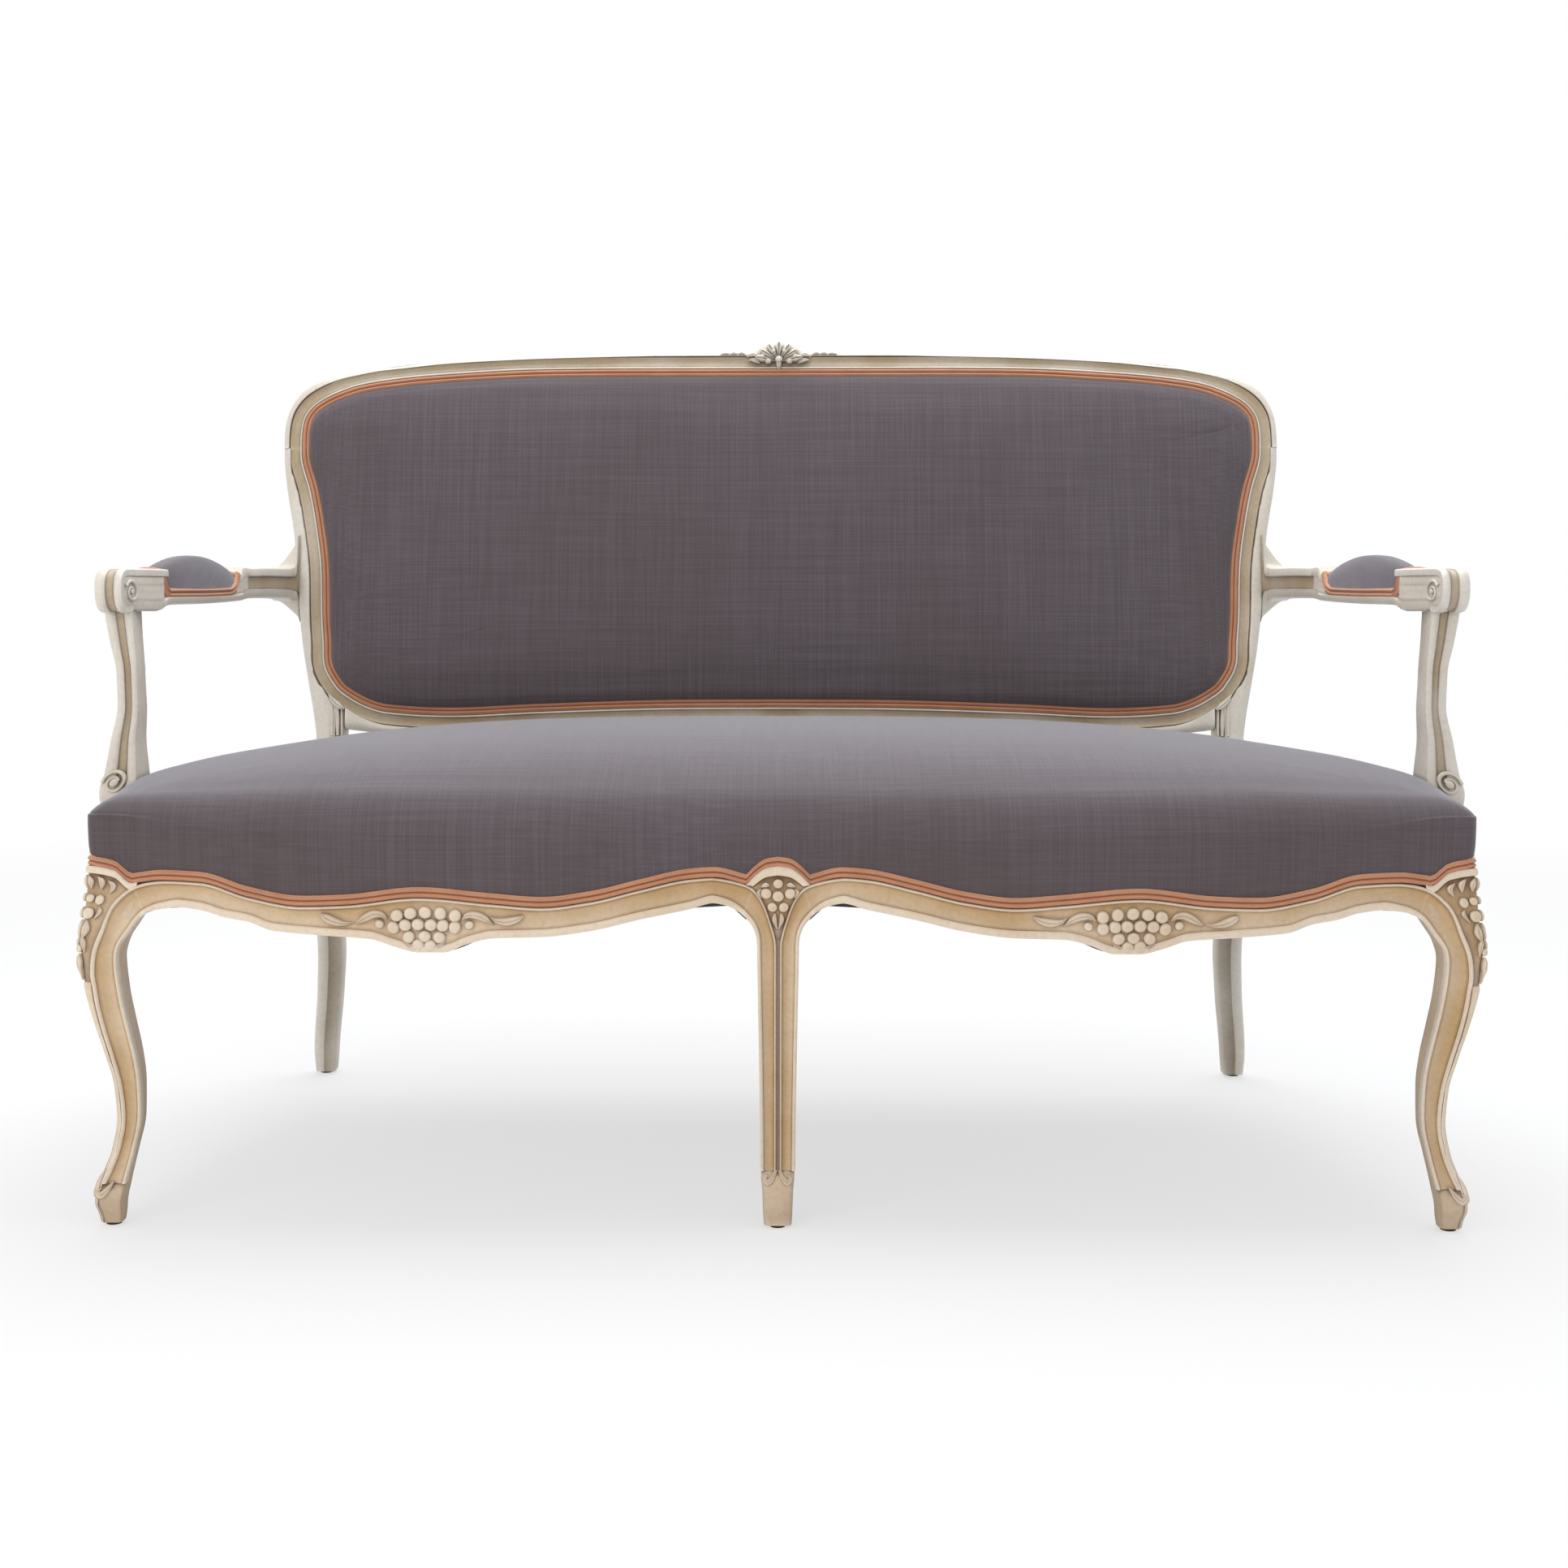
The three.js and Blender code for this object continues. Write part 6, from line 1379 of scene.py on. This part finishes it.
# The line between the two cords is darkened as painted shade, and the braid's outer edges are lightened as painted
# highlight.
groove = ramp(tree, middle, 0.2, 1.3, 1.0, 0.0)
rim = ramp(tree, middle, 3.6, 4.6)
where = put(tree, "ShaderNodeTexCoord").outputs["Object"]
wear = put(tree, "ShaderNodeTexNoise", {"Vector": where, "Scale": 42, "Detail": 3}).outputs[0]
braid = tint(tree, ramp(tree, lay, -1.0, 1.0), colour(188, 122, 88), colour(222, 164, 126))
braid = tint(tree, sums(tree, "MULTIPLY", groove, 0.75), braid, colour(128, 70, 46))
braid = tint(tree, sums(tree, "MULTIPLY", rim, 0.6), braid, colour(236, 184, 144))
braid = tint(tree, ramp(tree, wear, 0.4, 0.75, 0.0, 0.3), braid, colour(160, 98, 68))
tree.links.new(braid, shader.inputs["Base Color"])
bump = put(tree, "ShaderNodeBump", {"Height": lay, "Strength": 0.5, "Distance": 0.0004})
tree.links.new(bump.outputs[0], shader.inputs["Normal"])
gimp_rows = ((0, -1.4), (0, 0.7), (0.5, 1.1), (1.1, 2.3), (2.4, 3.2), (3.8, 2.5), (4.8, 1.0), (5.8, 2.5), (7.2, 3.2),
             (8.5, 2.3), (9.1, 1.1), (9.6, 0.7), (9.6, -1.4))


def braid_of(name, places, node, closed=False):
    """Lays the braid along places of point, outward direction and direction across it."""
    shape = new_shape()
    rings, run, last = [], 0, None
    for point, out, over in places:
        run += math.dist(point, last) if last else 0
        last = point
        rings.append([
            tuple(p + o * lift + a * width for p, o, a in zip(point, out, over)) + (run, width)
            for width, lift in gimp_rows
        ])
    skin(shape, rings, closed=closed)
    return piece_of(name, shape, gimp, [node], 60, ("along", "across"))


def gimp_place(place):
    """A place of the seat's braid, on the linen over the rebate."""
    x, y, out_x, out_y, line = place
    inset = 2.4
    return (x - out_x * inset, y - out_y * inset, line + 0.9), (out_x, out_y, 0), (0, 0, 1)


notch_index = next(i for i, row in enumerate(half_loop) if row[2] == 1 and row[1] > 132)
side_index = next(i for i, row in enumerate(half_loop) if row[3] == 1)
mirrored = [(-x, y, -out_x, out_y, line) for x, y, out_x, out_y, line in half_loop]
front_run = mirrored[1:notch_index][::-1] + half_loop[:notch_index]
braid_of("gimp_seat_front", [gimp_place(row) for row in front_run], "seat_gimp_front")
for name, rows in (("left", mirrored), ("right", half_loop)):
    after = [row for row in rows[notch_index:side_index] if row[1] > 168]
    braid_of("gimp_seat_" + name, [gimp_place(row) for row in after], "seat_gimp_" + name)
rear_places = [(x, rear_line, 0, 1, 342) for x in range(-550, 551, 5)]
braid_of("gimp_seat_rear", [gimp_place(row) for row in rear_places], "seat_gimp_rear")

# Back
# A low stuffed pad fills the show opening, its linen tacked in the rebate under a round of the same braid.
edge_half = show_edge[:-1]
back_edge = edge_half + [(-x, z, -out_x, out_z) for x, z, out_x, out_z in show_edge[::-1]][:-1]


def back_ring(inset, lift):
    """A ring of the back's pad inside the show edge."""
    return [back_place(x - out_x * inset, z - out_z * inset, lift) for x, z, out_x, out_z in back_edge]


def back_crown(share, lift):
    """A ring of the pad's crown."""
    ring = []
    for x, z, out_x, out_z in back_edge:
        x, z = x - out_x * 44, z - out_z * 44
        ring.append(back_place(x * share, 681 + (z - 681) * share, lift))
    return ring


back_rings = [back_ring(2, -4), back_ring(4, -1.6)]
back_rings += between([
    back_ring(8.4, -0.6), back_ring(11, 2.6), back_ring(14.6, 6.4), back_ring(22, 10), back_crown(1, 13.6),
    back_crown(0.9, 15.6), back_crown(0.75, 17.4), back_crown(0.5, 18.8), back_crown(0.25, 19.4), back_crown(0.03, 19.6),
], 3)
pad_of("back_cushion", back_rings, linen, ["back_cover", "back_stuffing"], 6, 2.4)
slope = Vector((0, -1, 0.2)).normalized()
braid_of("gimp_back", [
    (back_place(x - out_x * 0.6, z - out_z * 0.6, -0.6), slope, (-out_x, -out_z * 0.2, -out_z))
    for x, z, out_x, out_z in back_edge], "back_gimp_front", closed=True)


outside_edge = [(x + out_x * 4, z + out_z * 4) for x, z, out_x, out_z in back_edge]
shape = new_shape()
rings = []
for depth, shares in ((-30.4, (0.04, 0.35, 0.7, 0.9, 1)), (-31.4, (1, 0.9, 0.7, 0.35, 0.04))):
    for share in shares:
        rings.append([(*back_place(x * share, 681 + (z - 681) * share, depth), 0, 0) for x, z in outside_edge])
skin(shape, rings)
outside = piece_of("outside_back", shape, linen, ["outside_back_cover"], 50)
wide = max(x for x, _ in outside_edge) * 2 / 1000
braid_of("gimp_back_rear", [
    (back_place(x + out_x * 4.6, z + out_z * 4.6, -31.2), -slope, (-out_x, -out_z * 0.2, -out_z))
    for x, z, out_x, out_z in back_edge], "back_gimp_rear", closed=True)

# Dust cover
# Thin black cotton is tacked under the rails to hide the webbing, and hangs a little between them.
cotton, tree, shader, cloth, cloud = woven("black cotton", 1100, colour(24, 22, 25), colour(44, 41, 45), 0.92, 0.0003)
tree.links.new(cloth, shader.inputs["Base Color"])


def dust_edge():
    """Half the dust cover's outline, 20 mm inside the faces of the rails and just under them."""
    points = [(30.6, cheek_y, 301)]
    for k in range(49):
        t = k / 48
        x = lerp(centre_half + 0.6, cheek_x - 0.6, t)
        points.append((x, front_place(x, 300, 0)[1] + lerp(20, 29, ease(t, 0.88, 0.93)),
                       rail_z(front_low(min(t, 0.93))) - 1.6))
    points.append((cheek_x - 0.6, cheek_y + 0.6, points[-1][2]))
    for k in range(41):
        y = lerp(cheek_y + 0.6, post_front - 0.6, k / 40)
        points.append((min(side_face(y) - 20, 660), y, rail_z(side_low((y - cheek_y) / 525)) - 1.6))
    return points + [(551.4, post_front - 0.6, 300), (551.4, 586, 300)]


dust_half = dust_edge()
dust_outline = dust_half + [(-x, y, z) for x, y, z in dust_half[::-1]]
shape = new_shape()
rings = []
for thick, insets in ((0, (298, 230, 170, 130, 100, 75, 50, 30, 14, 0)), (-0.8, (0, 14, 30, 50, 75, 100, 130, 170, 230, 298))):
    for inset in insets:
        near = inset / seat_half_depth
        share_x = lerp(1 - inset / head_outer, 1 - near, near ** 1.5)
        rings.append([(x * share_x, seat_middle_y + (y - seat_middle_y) * (1 - near),
                       lerp(z, 296, ease(inset, 0, 130)) + thick, 0, 0) for x, y, z in dust_outline])
skin(shape, rings)
dust = piece_of("dust_sheet", shape, cotton, ["dust_cover"], 50)

# Arm pads
# A short hair pad in linen is tacked on the middle of each arm, and edged all round with braid that dips along
# both cheeks and climbs over the arm in front of and behind the pad.
def ledge_at(along):
    """Height of the pad's lower edge on the arm's cheek."""
    _, _, low, top = arm_at(along)
    return lerp(low, top, 0.22)


pad_start, pad_end = 0.16, 0.592
climb_rows = smooth([[0.148, 1], [0.16, 0.3], [0.182, 0], [0.53, 0], [0.57, 0.2], [0.585, 0.5], [0.597, 1]])
for name, half in (("left", -1), ("right", 1)):
    rings = []
    for k in range(41):
        t = k / 40
        along = lerp(pad_start, pad_end, t)
        inner, outer, low, top = arm_at(along)
        swell = math.sin(math.pi * t) ** 0.62 if 0 < t < 1 else 0
        base = ledge_at(along) + 4
        crown = lerp(top - 3, 654, swell)
        middle, wide = (inner + outer) / 2, (outer - inner) / 2 - lerp(4.6, 1.2, swell ** 0.4 if swell else 0)
        ring = []
        for j in range(19):
            turn = math.pi * j / 18
            side = math.copysign(abs(math.cos(turn)) ** 0.55, math.cos(turn)) * -1
            rise = math.sin(turn) ** 0.75
            ring.append((half * (middle + wide * side), arm_front + arm_run * along, lerp(base, crown, rise)))
        rings.append(ring)
    pad_of("arm_cushion_" + name, rings, linen, ["arm_pad_cover_" + name, "arm_pad_stuffing_" + name], len(rings), 0)

    path = []
    lift = 0.4
    for side in (0, 1):
        run = []
        for k in range(61):
            along = lerp(0.148, 0.597, k / 60)
            line = arm_at(along)
            foot = lerp(ledge_at(along), line[3] - 2, climb_rows(along))
            run.append(((half * (line[side] + (3.2 if side == 0 else -3.2)), arm_front + arm_run * along, foot), along))
        path.append((side, run))
    places = []
    for side, run in path:
        rows = run if side == 0 else run[::-1]
        out = (half * (-1 if side == 0 else 1), 0, 0)
        for k, (point, along) in enumerate(rows):
            a, b = rows[max(k - 1, 0)][0], rows[min(k + 1, len(rows) - 1)][0]
            step = (Vector(b) - Vector(a)).normalized()
            over = step.cross(Vector(out))
            if over.z < 0:
                over = -over
            places.append((point, out, tuple(over)))
        end = rows[-1][0]
        other = -end[0] + half * (arm_at(rows[-1][1])[0] + arm_at(rows[-1][1])[1])
        forward = 1 if side == 0 else -1
        for k in range(1, 6):
            turn = math.radians(15 + 30 * (k - 1))
            middle = (end[0] + other) / 2
            radius = (end[0] - middle)
            places.append((
                (middle + radius * math.cos(turn), end[1], end[2] + 1.6 * math.sin(turn)),
                (math.copysign(math.cos(turn), radius * math.cos(turn)) if abs(math.cos(turn)) > 0.01 else 0, 0, math.sin(turn)),
                (0, -forward, 0),
            ))
    braid_of("gimp_arm_" + name, places, "arm_gimp_" + name, closed=True)

# Size of the finished sofa
low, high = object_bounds()
